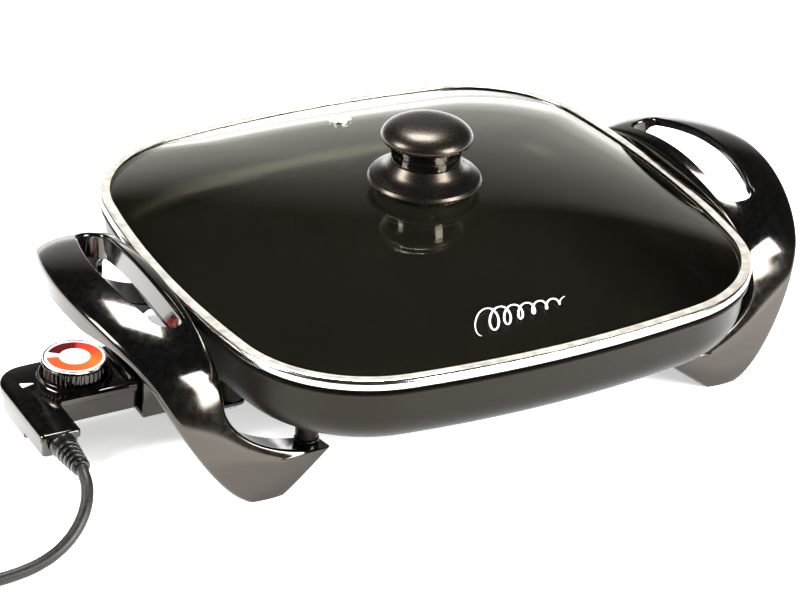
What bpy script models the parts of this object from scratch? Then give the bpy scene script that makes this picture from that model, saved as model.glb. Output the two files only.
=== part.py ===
"""Electric skillet: a square cast pan on two winged handles, with a domed glass lid and a plug-in probe.

Sizes are in millimetres, and new_object turns them into metres. The origin is on the floor, under the middle
of the skillet and its probe. +X runs from the probe towards the handle that has no probe, and +Z is up.
"""

import math

import bmesh
import bpy
from mathutils import Matrix, Vector
from mathutils.geometry import interpolate_bezier

MM = 0.001

# ------------------------------------------------------------------ driving dimensions
GAP = 0.3  # between pieces that touch

# Plan of the lid and the pan: a square with bowed sides.
LID_HALF_X = 156.0
LID_HALF_Y = 150.5
SIDE_BOW_RADIUS = 585.0
CORNER_RADIUS = 76.6
SIDE_STEPS = 4
CORNER_STEPS = 6

# Pan.
UNDERSIDE_Z = 41.0
PAN_FLOOR = 4.5
PAN_WALL = 3.6
PAN_TOP_Z = 77.3
FLANGE_Z = 73.6
FLANGE_THICK = 1.7
FLANGE_INSET = 0.8
WALL_INSET = 2.6
WALL_TAPER = 1.1
LIP_INSET = 4.4
OUTER_FILLET = 20.0
INNER_FILLET = 14.0

# Heating element, cast into a rib under the pan.
ELEMENT_RADIUS = 3.25
ELEMENT_HALF = 80.0
ELEMENT_BEND = 30.0
RIB_HALF_WIDTH = 6.5
RIB_DEPTH = 9.0
ELEMENT_Z = UNDERSIDE_Z - 5.0
PIN_SPACING = 21.0
PIN_RADIUS = 2.35
PIN_TIP = 170.0
PIN_ROOT = 139.0
BEAD_RADIUS = 5.0
RIB_END = 98.0

# Lid.
GLASS_THICK = 3.6
BAND_WALL = 0.8
BAND_WIDTH = 6.0
DOME_HEIGHT = 21.0
DOME_POWER = 2.5
VENT_X = 3.0
VENT_SHARE = 0.69
VENT_FLAT = 0.055
VENT_HOLE = 4.2
VENT_FLANGE = 6.4
KNOB_BORE = 2.6
KNOB_FOOT_RADIUS = 25.5
KNOB_SKIRT_RADIUS = 30.8
KNOB_NECK_RADIUS = 18.6
KNOB_CAP_RADIUS = 24.6
KNOB_HEIGHT = 38.0

# Winged handles with their legs.
WING_WALL = 3.6
WING_EDGE_ROUND = 2.2
WING_REACH = 211.0
WING_TOP_Z = 88.5
WING_INNER = 157.4
SHOULDER = (191.5, 80.5, 64.1)
FOOT_OUTER = 148.0
FOOT_INNER = 127.5
FOOT_Y = 97.0
TUCK_START_Z = 52.0
TUCK_TIP = (101.5, 20.0)
GRIP_CROWN = 4.8
LEG_CROWN = 1.2
GRIP_LIP = 11.0
LEG_LIP = 5.0
GRIP_WEB = 13.0
LEG_WEB = 20.0
FOOT_WEB = 6.0
SLOT_HALF_LENGTH = 52.5
SLOT_OUTER = 188.0
SLOT_OUTER_RADIUS = 128.0
SLOT_INNER = 166.0
SLOT_INNER_RADIUS = 500.0
SLOT_WALL = 3.0
SLOT_DEPTH = 11.0

# Screws that hold the handles and the shroud to bosses under the pan.
SCREW_RADIUS = 2.1
SCREW_HEAD_RADIUS = 4.4
SCREW_HEAD = 2.6
BOSS_RADIUS = 6.0
LEG_SCREW = (110.0, 84.0)
LEG_PAD_Z = (15.4, 22.4)
SHROUD_SCREW = (125.0, 27.0)

# Socket shroud and control probe, both on the line of the terminal pins.
PROBE_Z = 27.0
SHROUD_MOUTH = 174.0
SHROUD_BACK = 143.0
SHROUD_HALF_WIDTH = 25.0
SHROUD_Z = (15.0, 38.0)
SHROUD_WALL = 2.4
SHROUD_TAB_INNER = 118.0
ARM_HALF_WIDTH = 20.5
ARM_END = 148.0
PROBE_REACH = 240.5
HOUSING_Z = (19.0, 35.0)
PARTING_Z = 30.3
HOUSING_WALL = 2.0
LOBE_RADIUS = 17.0
CORD_LEG_WIDTH = 21.5
CORD_LEG_Y = -49.7
CORD_LEG_Z = 22.5
LOWER_INSET = 1.2
SENSOR_RADIUS = 4.0
SENSOR_TIP = 75.0
SENSOR_ROOT = 186.0
GUIDE_HALF_WIDTH = 6.4
GUIDE_X = (70.0, 112.0)
RELIEF_END_Y = -75.0
RELIEF_NECK = 3.3
RELIEF_STOP = 3.9
RELIEF_COLLAR = 7.0
CONTACT_WALL = 0.9

# Dial.
DIAL_X = 201.6
DIAL_RADIUS = 17.5
DIAL_FACE_RADIUS = 15.6
DIAL_COLLAR_RADIUS = 19.0
DIAL_COLLAR = 2.4
DIAL_HEIGHT = 7.0
DIAL_FACE = 1.0
DIAL_SHAFT = 2.8
KNURLS = 20
KNURL_DEPTH = 0.5

# Mains lead: its free run is a route chosen by hand, from the strain relief to the coil.
CORD_DIAMETER = 6.4
CORD_ROUTE = (
    (-230.5, -75.3, 29.0),
    (-230.9, -80.0, 28.6),
    (-232.0, -86.0, 27.0),
    (-234.6, -92.5, 23.9),
    (-238.8, -98.5, 19.8),
    (-244.8, -103.6, 15.2),
    (-252.4, -107.5, 10.8),
    (-261.6, -110.2, 7.2),
    (-272.0, -111.6, 4.8),
    (-283.0, -112.1, 3.7),
    (-294.0, -112.0, 3.3),
    (-305.0, -111.6, 3.3),
    (-316.4, -111.1, 3.3),
)
CORD_STEPS = 3
COIL_CENTRE = (-345.0, -75.0)
COIL_RADIUS = 36.0
COIL_SECTION = (13.2, 13.0)
TAIL_LENGTH = 20.0
PLUG_SIZE = (22.0, 27.0, 17.0)
PLUG_BOOT = 13.0
BLADE_SIZE = (1.5, 16.0, 6.3)
BLADE_SPACING = 12.7

# The pan's middle is off the origin, because the probe reaches out further than the handles do.
PAN_X = (PROBE_REACH - WING_REACH) / 2

# Heights that follow from the sizes above.
BAND_Z = PAN_TOP_Z + GAP
BAND_TOP_Z = BAND_Z + GLASS_THICK + 2 * (BAND_WALL + GAP)
GLASS_EDGE_Z = BAND_Z + BAND_WALL + GAP
GLASS_INSET = BAND_WALL + GAP
DOME_TOP_Z = GLASS_EDGE_Z + GLASS_THICK + DOME_HEIGHT
KNOB_Z = DOME_TOP_Z + GAP
DIAL_Z = HOUSING_Z[1] + DIAL_COLLAR + GAP


# ------------------------------------------------------------------ materials
def material(name, colour, roughness, metallic=0.0, transmission=0.0):
    made = bpy.data.materials.new(name)
    made.use_nodes = True
    shader = made.node_tree.nodes["Principled BSDF"]
    shader.inputs["Base Color"].default_value = (*colour, 1.0)
    shader.inputs["Roughness"].default_value = roughness
    shader.inputs["Metallic"].default_value = metallic
    shader.inputs["Transmission Weight"].default_value = transmission
    made.diffuse_color = (*colour, 1.0)
    return made


for leftover in list(bpy.data.objects):
    bpy.data.objects.remove(leftover)

COATED = material("coated_cast_aluminium", (0.045, 0.040, 0.036), 0.38, 0.3)
PHENOLIC = material("black_phenolic", (0.006, 0.006, 0.006), 0.16)
STEEL = material("stainless_steel", (0.62, 0.60, 0.57), 0.22, 1.0)
PLATED = material("plated_steel", (0.55, 0.55, 0.56), 0.30, 1.0)
GLASS = material("tempered_glass", (0.80, 0.86, 0.82), 0.03, 0.0, 1.0)
SILICONE = material("silicone_rubber", (0.05, 0.05, 0.05), 0.60)
CERAMIC = material("steatite_ceramic", (0.80, 0.77, 0.70), 0.45)
BRASS = material("brass", (0.75, 0.55, 0.25), 0.30, 1.0)
BIMETAL = material("bimetal_strip", (0.50, 0.46, 0.42), 0.35, 1.0)
SHEATH = material("element_sheath", (0.20, 0.19, 0.18), 0.50, 1.0)
PRINT = material("printed_dial_face", (0.85, 0.83, 0.80), 0.35)
LENS = material("signal_lens", (0.90, 0.90, 0.86), 0.25)
CORD = material("cord_pvc", (0.02, 0.02, 0.02), 0.55)


# ------------------------------------------------------------------ making objects
def empty(name, place, parent=None):
    made = bpy.data.objects.new(name, None)
    bpy.context.scene.collection.objects.link(made)
    made.location = Vector(place) * MM
    made.parent = parent
    return made


def new_object(name, bm, parent, finish, cutter=False):
    """An object from a bmesh in millimetres, closed and facing out, placed under its parent."""
    bmesh.ops.remove_doubles(bm, verts=bm.verts, dist=0.001)
    bmesh.ops.recalc_face_normals(bm, faces=bm.faces)
    bmesh.ops.scale(bm, vec=(MM, MM, MM), verts=bm.verts)
    mesh = bpy.data.meshes.new(name)
    bm.to_mesh(mesh)
    bm.free()
    mesh.shade_smooth()
    mesh.set_sharp_from_angle(angle=math.radians(35))
    made = bpy.data.objects.new(name, mesh)
    bpy.context.scene.collection.objects.link(made)
    made.parent = parent
    if finish is not None:
        mesh.materials.append(finish)
    if cutter:
        made.hide_render = True
        made.display_type = "WIRE"
    return made


def combine(target, shape, operation):
    """A Boolean on target with a hidden shape."""
    modifier = target.modifiers.new(shape.name, "BOOLEAN")
    modifier.operation = operation
    modifier.object = shape
    modifier.solver = "EXACT"


def lofted(rings, looped=False):
    """A bmesh through rings of equal count. Its ends are capped, or joined to each other when looped."""
    bm = bmesh.new()
    rows = [[bm.verts.new(point) for point in ring] for ring in rings]
    count = len(rows[0])
    pairs = list(zip(rows, rows[1:]))
    if looped:
        pairs.append((rows[-1], rows[0]))
    for low, high in pairs:
        for i in range(count):
            j = (i + 1) % count
            bm.faces.new((low[i], low[j], high[j], high[i]))
    if not looped:
        bm.faces.new(rows[0])
        bm.faces.new(rows[-1])
    return bm


def turned(profile, steps, axis="Z"):
    """A bmesh of (radius, height) points spun about an axis. A profile off the axis closes on itself."""
    bm = bmesh.new()
    points = [bm.verts.new((radius, 0.0, height)) for radius, height in profile]
    edges = [bm.edges.new(pair) for pair in zip(points, points[1:])]
    if profile[0][0] > 0:
        edges.append(bm.edges.new((points[-1], points[0])))
    bmesh.ops.spin(
        bm,
        geom=points + edges,
        cent=(0, 0, 0),
        axis=(0, 0, 1),
        angle=math.tau,
        steps=steps,
        use_merge=True,
    )
    bmesh.ops.remove_doubles(bm, verts=bm.verts, dist=0.001)
    if axis == "X":
        bmesh.ops.rotate(bm, matrix=Matrix.Rotation(math.pi / 2, 3, "Y"), verts=bm.verts)
    if axis == "Y":
        bmesh.ops.rotate(bm, matrix=Matrix.Rotation(-math.pi / 2, 3, "X"), verts=bm.verts)
    return bm


def moved(bm, place):
    bmesh.ops.translate(bm, vec=Vector(place), verts=bm.verts)
    return bm


def box(low, high, rounding=0.0):
    bm = bmesh.new()
    bmesh.ops.create_cube(bm, size=1.0)
    size = Vector(high) - Vector(low)
    bmesh.ops.scale(bm, vec=size, verts=bm.verts)
    bmesh.ops.translate(bm, vec=(Vector(high) + Vector(low)) / 2, verts=bm.verts)
    if rounding:
        bmesh.ops.bevel(bm, geom=bm.edges[:], offset=rounding, segments=2, profile=0.5, affect="EDGES")
    return bm


def rod(radius, low, high, steps=20, axis="Z"):
    return turned([(0.0, low), (radius, low), (radius, high), (0.0, high)], steps, axis)


def level(points, z):
    return [(x, y, z) for x, y in points]


def arc(centre, radius, start, end, steps):
    """Points of an arc in degrees, both ends included."""
    angles = [math.radians(start + (end - start) * i / steps) for i in range(steps + 1)]
    return [(centre[0] + radius * math.cos(a), centre[1] + radius * math.sin(a)) for a in angles]


def rounded_polygon(corners, steps=4):
    """An outline through (x, y, radius) corners, each one replaced by an arc of its radius."""
    outline = []
    for i, (x, y, radius) in enumerate(corners):
        here = Vector((x, y))
        back = (Vector(corners[i - 1][:2]) - here).normalized()
        ahead = (Vector(corners[(i + 1) % len(corners)][:2]) - here).normalized()
        half = back.angle(ahead) / 2
        if radius == 0:
            outline.append((x, y))
            continue
        reach = radius / math.tan(half)
        centre = here + (back + ahead).normalized() * (radius / math.sin(half))
        start = here + back * reach - centre
        turn = math.pi - 2 * half
        if back.x * ahead.y - back.y * ahead.x > 0:
            turn = -turn
        for k in range(steps + 1):
            point = centre + Matrix.Rotation(turn * k / steps, 2) @ start
            outline.append((point.x, point.y))
    return outline


# ------------------------------------------------------------------ plan of the lid and the pan
def skillet_outline(inset):
    """The bowed square from above, drawn in from the lid's edge: four side arcs and four corner arcs."""
    bow = SIDE_BOW_RADIUS - LID_HALF_X
    reach = SIDE_BOW_RADIUS - CORNER_RADIUS
    corner = (math.sqrt(2 * reach**2 - bow**2) - bow) / 2
    turn = math.degrees(math.atan2(corner, corner + bow))
    quarter = arc((-bow, 0), SIDE_BOW_RADIUS - inset, -turn, turn, SIDE_STEPS)[:-1]
    quarter += arc((corner, corner), CORNER_RADIUS - inset, turn, 90 - turn, CORNER_STEPS)[:-1]
    outline = []
    for side in range(4):
        spin = Matrix.Rotation(side * math.pi / 2, 2)
        outline += [tuple(spin @ Vector(point)) for point in quarter]
    squeeze = LID_HALF_Y / LID_HALF_X
    return [(x, y * squeeze) for x, y in outline]


def skillet_rings(profile):
    return [level(skillet_outline(inset), z) for inset, z in profile]


# ------------------------------------------------------------------ pan and heating element
def element_path(side):
    """Half of the element's centre line, from its terminal round to the far side of the pan."""
    lead_y = PIN_SPACING / 2
    corners = [
        (-RIB_END, lead_y, 0.0),
        (-ELEMENT_HALF, lead_y, 9.0),
        (-ELEMENT_HALF, ELEMENT_HALF, ELEMENT_BEND),
        (ELEMENT_HALF, ELEMENT_HALF, ELEMENT_BEND),
        (ELEMENT_HALF, 0.0, 0.0),
    ]
    path = [corners[0][:2]]
    for before, here, after in zip(corners, corners[1:], corners[2:]):
        bend = rounded_polygon([before[:2] + (0,), here, after[:2] + (0,)], 4)
        path += bend[1:-1]
    path.append(corners[-1][:2])
    return [(x, side * y) for x, y in path]


def element_loop():
    near = element_path(1)
    return near + element_path(-1)[-2::-1]


def swept(path, section):
    """A bmesh of a section of (sideways, up) points swept along a level path of (x, y, z) points."""
    rings = []
    for i, point in enumerate(path):
        ahead = Vector(path[min(i + 1, len(path) - 1)])
        behind = Vector(path[max(i - 1, 0)])
        along = (ahead - behind).normalized()
        across = Vector((-along.y, along.x, 0)).normalized()
        upward = along.cross(across)
        upward = upward if upward.z > 0 else -upward
        rings.append([Vector(point) + across * s + upward * u for s, u in section])
    return lofted(rings)


def circle(radius, steps):
    return arc((0, 0), radius, 0, 360, steps)[:-1]


def make_pan(parent):
    outer = arc((OUTER_FILLET, OUTER_FILLET), OUTER_FILLET, 270, 180, 4)
    wall_foot = WALL_INSET + WALL_TAPER
    profile = [(wall_foot + x, UNDERSIDE_Z + z) for x, z in outer]
    profile += [
        (WALL_INSET, FLANGE_Z),
        (FLANGE_INSET, FLANGE_Z + 0.3),
        (FLANGE_INSET, FLANGE_Z + FLANGE_THICK),
        (LIP_INSET, FLANGE_Z + FLANGE_THICK + 0.4),
        (LIP_INSET, PAN_TOP_Z),
    ]
    inside = LIP_INSET + PAN_WALL - 1.0
    floor_z = UNDERSIDE_Z + PAN_FLOOR
    profile.append((inside, PAN_TOP_Z))
    inner = arc((INNER_FILLET, INNER_FILLET), INNER_FILLET, 180, 270, 3)
    profile += [(inside + WALL_TAPER + x, floor_z + z) for x, z in inner]
    pan = new_object("skillet_pan", lofted(skillet_rings(profile)), parent, COATED)

    into_floor = UNDERSIDE_Z + PAN_FLOOR / 2
    loop = [(x, y, ELEMENT_Z) for x, y in element_loop()]
    half = RIB_HALF_WIDTH
    foot = UNDERSIDE_Z - RIB_DEPTH - ELEMENT_Z
    root = into_floor - ELEMENT_Z
    rib_section = [(-half + 1, foot), (half - 1, foot), (half, root), (-half, root)]
    rib = new_object("rib_blank", swept(loop, rib_section), parent, None, cutter=True)
    combine(pan, rib, "UNION")
    guide_low = PROBE_Z - GUIDE_HALF_WIDTH
    guide_shape = box(
        (-GUIDE_X[1], -GUIDE_HALF_WIDTH, guide_low),
        (-GUIDE_X[0], GUIDE_HALF_WIDTH, into_floor),
    )
    combine(pan, new_object("guide_blank", guide_shape, parent, None, cutter=True), "UNION")
    for label, x, y, low in boss_places():
        shape = moved(rod(BOSS_RADIUS, low, into_floor, 16), (x, y, 0))
        combine(pan, new_object(f"boss_blank_{label}", shape, parent, None, cutter=True), "UNION")

    starts, ends = [(-RIB_END - 4, loop[i][1], ELEMENT_Z) for i in (0, -1)]
    tunnel_shape = swept([starts, *loop, ends], circle(ELEMENT_RADIUS + GAP, 8))
    tunnel = new_object("tunnel_cutter", tunnel_shape, parent, None, cutter=True)
    combine(pan, tunnel, "DIFFERENCE")
    bore = rod(SENSOR_RADIUS + 0.4, -GUIDE_X[1] - 4, -SENSOR_TIP + 2, 16, "X")
    guide_cutter = new_object("guide_cutter", moved(bore, (0, 0, PROBE_Z)), parent, None, cutter=True)
    combine(pan, guide_cutter, "DIFFERENCE")
    for label, x, y, low in boss_places():
        shape = moved(rod(SCREW_RADIUS + GAP, low - 2, UNDERSIDE_Z - 2, 10), (x, y, 0))
        drill = new_object(f"boss_cutter_{label}", shape, parent, None, cutter=True)
        combine(pan, drill, "DIFFERENCE")
    return pan


def boss_places():
    """(label, x, y, lowest z) of each screw boss under the pan."""
    x, y = LEG_SCREW
    places = [
        ("right_front", x, -y, LEG_PAD_Z[1] + GAP),
        ("right_back", x, y, LEG_PAD_Z[1] + GAP),
        ("left_front", -x, -y, LEG_PAD_Z[1] + GAP),
        ("left_back", -x, y, LEG_PAD_Z[1] + GAP),
    ]
    x, y = SHROUD_SCREW
    low = SHROUD_Z[0] + SHROUD_WALL + GAP
    return places + [("shroud_front", -x, -y, low), ("shroud_back", -x, y, low)]


def make_element(parent):
    """The sheathed element: its loop in the rib, and two cold leads that drop to the pins."""
    loop = [(x, y, ELEMENT_Z) for x, y in element_loop()]
    drop = ELEMENT_Z - PROBE_Z
    lead = []
    for k in range(7):
        share = k / 6
        ease = share * share * (3 - 2 * share)
        lead.append((-RIB_END - 3 - share * 27, PIN_SPACING / 2, ELEMENT_Z - drop * ease))
    lead.append((-PIN_ROOT + GAP, PIN_SPACING / 2, PROBE_Z))
    other = [(x, -y, z) for x, y, z in lead]
    path = lead[::-1] + loop + other
    new_object("heating_element", swept(path, circle(ELEMENT_RADIUS, 8)), parent, SHEATH)
    for side, label in ((1, "back"), (-1, "front")):
        y = side * PIN_SPACING / 2
        pin = [
            (0.0, -PIN_TIP),
            (PIN_RADIUS - 0.8, -PIN_TIP),
            (PIN_RADIUS, -PIN_TIP + 1.2),
            (PIN_RADIUS, -PIN_ROOT),
            (0.0, -PIN_ROOT),
        ]
        place = (0, y, PROBE_Z)
        new_object(f"terminal_pin_{label}", moved(turned(pin, 14, "X"), place), parent, PLATED)
        inner = PIN_RADIUS + GAP
        start = -SHROUD_BACK - 2
        end = -PIN_ROOT - 0.2
        bead = [(inner, start), (BEAD_RADIUS, start), (BEAD_RADIUS, end), (inner, end)]
        new_object(f"pin_insulator_{label}", moved(turned(bead, 14, "X"), place), parent, CERAMIC)


# ------------------------------------------------------------------ winged handles
def wing_edge():
    """The outer edge of half a handle, from its middle over the shoulder to the foot."""
    top = Vector((WING_REACH, 0, WING_TOP_Z))
    shoulder = Vector(SHOULDER)
    foot = Vector((FOOT_OUTER, FOOT_Y, 0))
    lean = Vector((-7.0, 11.2, -17.8))
    first = interpolate_bezier(top, top + Vector((0, 36, 0)), shoulder - lean * 0.78, shoulder, 33)
    second = interpolate_bezier(shoulder, shoulder + lean, foot + Vector((16, 1, 7)), foot, 33)
    return first, second


def at_height(edge, z):
    """The point of a falling edge at height z."""
    for high, low in zip(edge, edge[1:]):
        if low.z <= z <= high.z:
            share = (high.z - z) / max(high.z - low.z, 1e-9)
            return high.lerp(low, share)
    return edge[-1].copy()


def wing_inner(z):
    """How far out a handle's inner edge is at height z: it tucks in under the pan, then runs to the foot."""
    tip_x, tip_z = TUCK_TIP
    if z >= TUCK_START_Z:
        return WING_INNER
    if z >= tip_z:
        fall = (TUCK_START_Z - z) / (TUCK_START_Z - tip_z)
        return tip_x + (WING_INNER - tip_x) * max(0.0, 1 - fall**1.85) ** (1 / 1.85)
    return FOOT_INNER + (tip_x - FOOT_INNER) * z / tip_z


def blend(low, high, share):
    share = min(max(share, 0.0), 1.0)
    return low + (high - low) * share * share * (3 - 2 * share)


def wing_rows():
    """(outer edge point, inner x) of each row of half a handle, from its middle to the foot."""
    first, second = wing_edge()
    edges = [first[i] for i in range(0, 33, 4)]
    edges.append(at_height(second, (SHOULDER[2] + TUCK_START_Z) / 2))
    tip_z = TUCK_TIP[1]
    for k in range(8):
        swing = math.sin(math.radians(90 * k / 7))
        edges.append(at_height(second, TUCK_START_Z - (TUCK_START_Z - tip_z) * swing**1.1))
    for z in (tip_z - WING_WALL, tip_z * 0.45, 0.0):
        edges.append(at_height(second, z))
    return [(edge, wing_inner(edge.z)) for edge in edges]


def wing_section(rows, i):
    """One cross-section of the handle: a crowned skin with a web at its inner edge and a lip outside."""
    edge, inner = rows[i]
    before, after = rows[max(i - 1, 0)], rows[min(i + 1, len(rows) - 1)]
    along = (after[0] - before[0]).yz.normalized()
    if i == 0:
        along = Vector((1.0, 0.0))
    inward = Vector((0.0, along.y, -along.x))
    run = max((after[0] - before[0]).yz.length, 1e-6)
    slope = (after[1] - before[1]) / run
    outer = edge.x
    width = outer - inner
    drop = min(edge.z / WING_TOP_Z, 1.0)
    leg = 1.0 - blend(0.0, 1.0, (drop - 0.6) / 0.35)
    crown = blend(GRIP_CROWN, LEG_CROWN, leg)
    lip = blend(GRIP_LIP, LEG_LIP, leg)
    web = blend(GRIP_WEB, LEG_WEB, leg)
    if edge.z < TUCK_TIP[1]:
        web = FOOT_WEB
    web_wide = min(WING_WALL * math.sqrt(1 + slope * slope), 0.75 * width)
    if edge.z < TUCK_TIP[1]:
        web_wide = min(web_wide, 2 * WING_WALL)
    edge_round = WING_EDGE_ROUND

    def swell(share):
        return -crown * (4 * share * (1 - share)) ** 0.8

    skin = [(0.0, edge_round), (0.3 * edge_round / width, 0.3 * edge_round)]
    for share in (0.09, 0.3, 0.52, 0.74, 0.92):
        skin.append((share, swell(share)))
    skin += [(1 - 0.3 * edge_round / width, 0.3 * edge_round), (1.0, edge_round), (1.0, lip)]
    wall_share = WING_WALL / width
    skin.append((1 - wall_share, lip))
    low_share = web_wide / width
    for share in (1.0, 0.68, 0.34, 0.0):
        across = low_share + (1 - wall_share - low_share) * share
        skin.append((across, WING_WALL + swell(min(max(across, 0.09), 0.91))))
    skin += [(low_share, web), (0.0, web)]
    return [
        Vector((inner + width * share, edge.y, edge.z)) + inward * depth
        for share, depth in skin
    ]


def wing_shell():
    """Half the sections face the front, and the other half are their mirror image."""
    rows = wing_rows()
    half = [wing_section(rows, i) for i in range(len(rows))]
    for point in half[-1]:
        point.z = 0.0
    front = [[Vector((p.x, -p.y, p.z)) for p in ring] for ring in half[:0:-1]]
    return lofted(front + half)


def slot_outline(grow):
    """The finger slot from above, grown outward: two long arcs and two round ends."""
    end = SLOT_HALF_LENGTH - 8.0
    ys = [end * (k / 6 * 2 - 1) for k in range(7)]
    outer = [(SLOT_OUTER + grow - y * y / (2 * SLOT_OUTER_RADIUS), y) for y in ys]
    inner = [(SLOT_INNER - grow - y * y / (2 * SLOT_INNER_RADIUS), y) for y in reversed(ys)]

    def cap(start, finish, sign):
        middle = (start[0] + finish[0]) / 2
        half = abs(start[0] - finish[0]) / 2
        made = []
        for k in range(1, 6):
            angle = math.pi * k / 6
            made.append((math.cos(angle), math.sin(angle) ** 0.8))
        return [(middle + sign * half * c, start[1] + sign * (8.0 + grow) * s) for c, s in made]

    return outer + cap(outer[-1], inner[0], 1) + inner + cap(inner[-1], outer[0], -1)


def arch_z(y):
    """Height of the handle's outer edge at a distance from its middle."""
    first, _ = wing_edge()
    for near, far in zip(first, first[1:]):
        if near.y <= abs(y) <= far.y:
            return near.z + (far.z - near.z) * (abs(y) - near.y) / (far.y - near.y)
    return first[-1].z


def make_wing(name, side, parent):
    wing = new_object(name, mirrored(wing_shell(), side), parent, PHENOLIC)
    inside = slot_outline(-1.0)
    outside = slot_outline(SLOT_WALL)
    rings = [
        [(x, y, arch_z(y) + 0.5) for x, y in inside],
        [(x, y, arch_z(y) + 0.5) for x, y in outside],
        [(x, y, arch_z(y) - SLOT_DEPTH) for x, y in outside],
        [(x, y, arch_z(y) - SLOT_DEPTH) for x, y in inside],
    ]
    rim_shape = mirrored(lofted(rings, looped=True), side)
    rim = new_object(f"{name}_slot_rim", rim_shape, parent, None, cutter=True)
    combine(wing, rim, "UNION")
    through = lofted([level(slot_outline(0.0), z) for z in (WING_TOP_Z - 40, WING_TOP_Z + 20)])
    slot = new_object(f"{name}_slot_cutter", mirrored(through, side), parent, None, cutter=True)
    combine(wing, slot, "DIFFERENCE")
    for y, label in ((-LEG_SCREW[1], "front"), (LEG_SCREW[1], "back")):
        place = (LEG_SCREW[0], y, 0)
        pad_shape = mirrored(moved(rod(BOSS_RADIUS + 0.5, *LEG_PAD_Z, 16), place), side)
        pad = new_object(f"{name}_pad_{label}", pad_shape, parent, None, cutter=True)
        combine(wing, pad, "UNION")
        low, high = LEG_PAD_Z[0] - 10, LEG_PAD_Z[1] + 12
        hole_shape = mirrored(moved(rod(SCREW_RADIUS + GAP, low, high, 12), place), side)
        hole = new_object(f"{name}_hole_{label}", hole_shape, parent, None, cutter=True)
        combine(wing, hole, "DIFFERENCE")
        make_screw(f"{name}_screw_{label}", (side * place[0], y), LEG_PAD_Z[0], UNDERSIDE_Z - 4, parent)


def mirrored(bm, side):
    bmesh.ops.scale(bm, vec=(side, 1, 1), verts=bm.verts)
    return bm


def make_screw(name, place, seat_z, tip_z, parent):
    """A pan-head screw driven upward, with its head under seat_z."""
    head_z = seat_z - GAP - SCREW_HEAD
    profile = [
        (0.0, head_z + 0.5),
        (1.2, head_z + 0.5),
        (1.2, head_z),
        (SCREW_HEAD_RADIUS - 1.2, head_z),
        (SCREW_HEAD_RADIUS, head_z + 1.2),
        (SCREW_HEAD_RADIUS, head_z + SCREW_HEAD),
        (SCREW_RADIUS, head_z + SCREW_HEAD),
        (SCREW_RADIUS, tip_z - 1.5),
        (0.0, tip_z),
    ]
    new_object(name, moved(turned(profile, 8), (*place, 0)), parent, PLATED)


# ------------------------------------------------------------------ lid
def dome_z(share):
    """Height of the glass's top face at a share of the way out from the middle."""
    return GLASS_EDGE_Z + GLASS_THICK + DOME_HEIGHT * (1 - share**DOME_POWER)


def glass_ring(share, z):
    """A ring of the glass's dome: the lid's outline inside its band, and rounder towards the middle."""
    outline = skillet_outline(BAND_WIDTH)
    ring = []
    for x, y in outline:
        reach = math.hypot(x, y)
        round_reach = (LID_HALF_X + LID_HALF_Y) / 2
        scale = share * (share + (1 - share) * round_reach / reach)
        ring.append((x * scale, y * scale, z))
    return ring


def make_lid(parent):
    hole_share = (KNOB_BORE + 1.4) / LID_HALF_X
    shares = (1.0, 0.88, VENT_SHARE + VENT_FLAT, VENT_SHARE - VENT_FLAT, 0.42, 0.2, hole_share)
    border = skillet_outline(GLASS_INSET)
    upper = [glass_ring(share, dome_z(share)) for share in shares]
    lower = [glass_ring(share, dome_z(share) - GLASS_THICK) for share in reversed(shares)]
    edge = [level(border, GLASS_EDGE_Z), level(border, GLASS_EDGE_Z + GLASS_THICK)]
    glass = new_object("lid_glass", lofted(edge + upper + lower, looped=True), parent, GLASS)
    tilt = vent_frame()
    cutter = transformed(rod(VENT_HOLE, -12, 12, 16), tilt)
    combine(glass, new_object("vent_cutter", cutter, parent, None, cutter=True), "DIFFERENCE")

    inner = GLASS_INSET
    profile = [
        (BAND_WIDTH, BAND_Z),
        (1.0, BAND_Z),
        (0.0, BAND_Z + 1.0),
        (0.0, BAND_TOP_Z - 1.0),
        (0.8, BAND_TOP_Z),
        (BAND_WIDTH, BAND_TOP_Z),
        (BAND_WIDTH, BAND_TOP_Z - BAND_WALL),
        (inner - GAP, BAND_TOP_Z - BAND_WALL),
        (inner - GAP, BAND_Z + BAND_WALL),
        (BAND_WIDTH, BAND_Z + BAND_WALL),
    ]
    new_object("lid_rim_band", lofted(skillet_rings(profile), looped=True), parent, STEEL)

    stem = VENT_HOLE - GAP
    top = GAP
    under = -GLASS_THICK - GAP
    grommet = [
        (1.3, under - 0.9),
        (VENT_FLANGE, under - 0.9),
        (VENT_FLANGE, under - 0.1),
        (stem, under),
        (stem, top),
        (VENT_FLANGE, top + 0.1),
        (VENT_FLANGE - 0.4, top + 0.9),
        (2.0, top + 1.2),
        (1.3, top + 0.6),
    ]
    new_object("vent_grommet", transformed(turned(grommet, 14), tilt), parent, STEEL)
    make_knob(parent)


def vent_frame():
    """Places a piece on the glass at the vent, square to the facet between two rings of the dome."""
    reaches = []
    for share in (VENT_SHARE - VENT_FLAT, VENT_SHARE + VENT_FLAT):
        ring = glass_ring(share, dome_z(share))
        reaches.append(Vector(max(ring, key=lambda point: point[1])))
    near, far = reaches
    middle = (near + far) / 2
    rise = (far.z - near.z) / (far.y - near.y)
    return Matrix.Translation((VENT_X, middle.y, middle.z)) @ Matrix.Rotation(math.atan(rise), 4, "X")


def transformed(bm, matrix):
    bmesh.ops.transform(bm, matrix=matrix, verts=bm.verts)
    return bm


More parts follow.
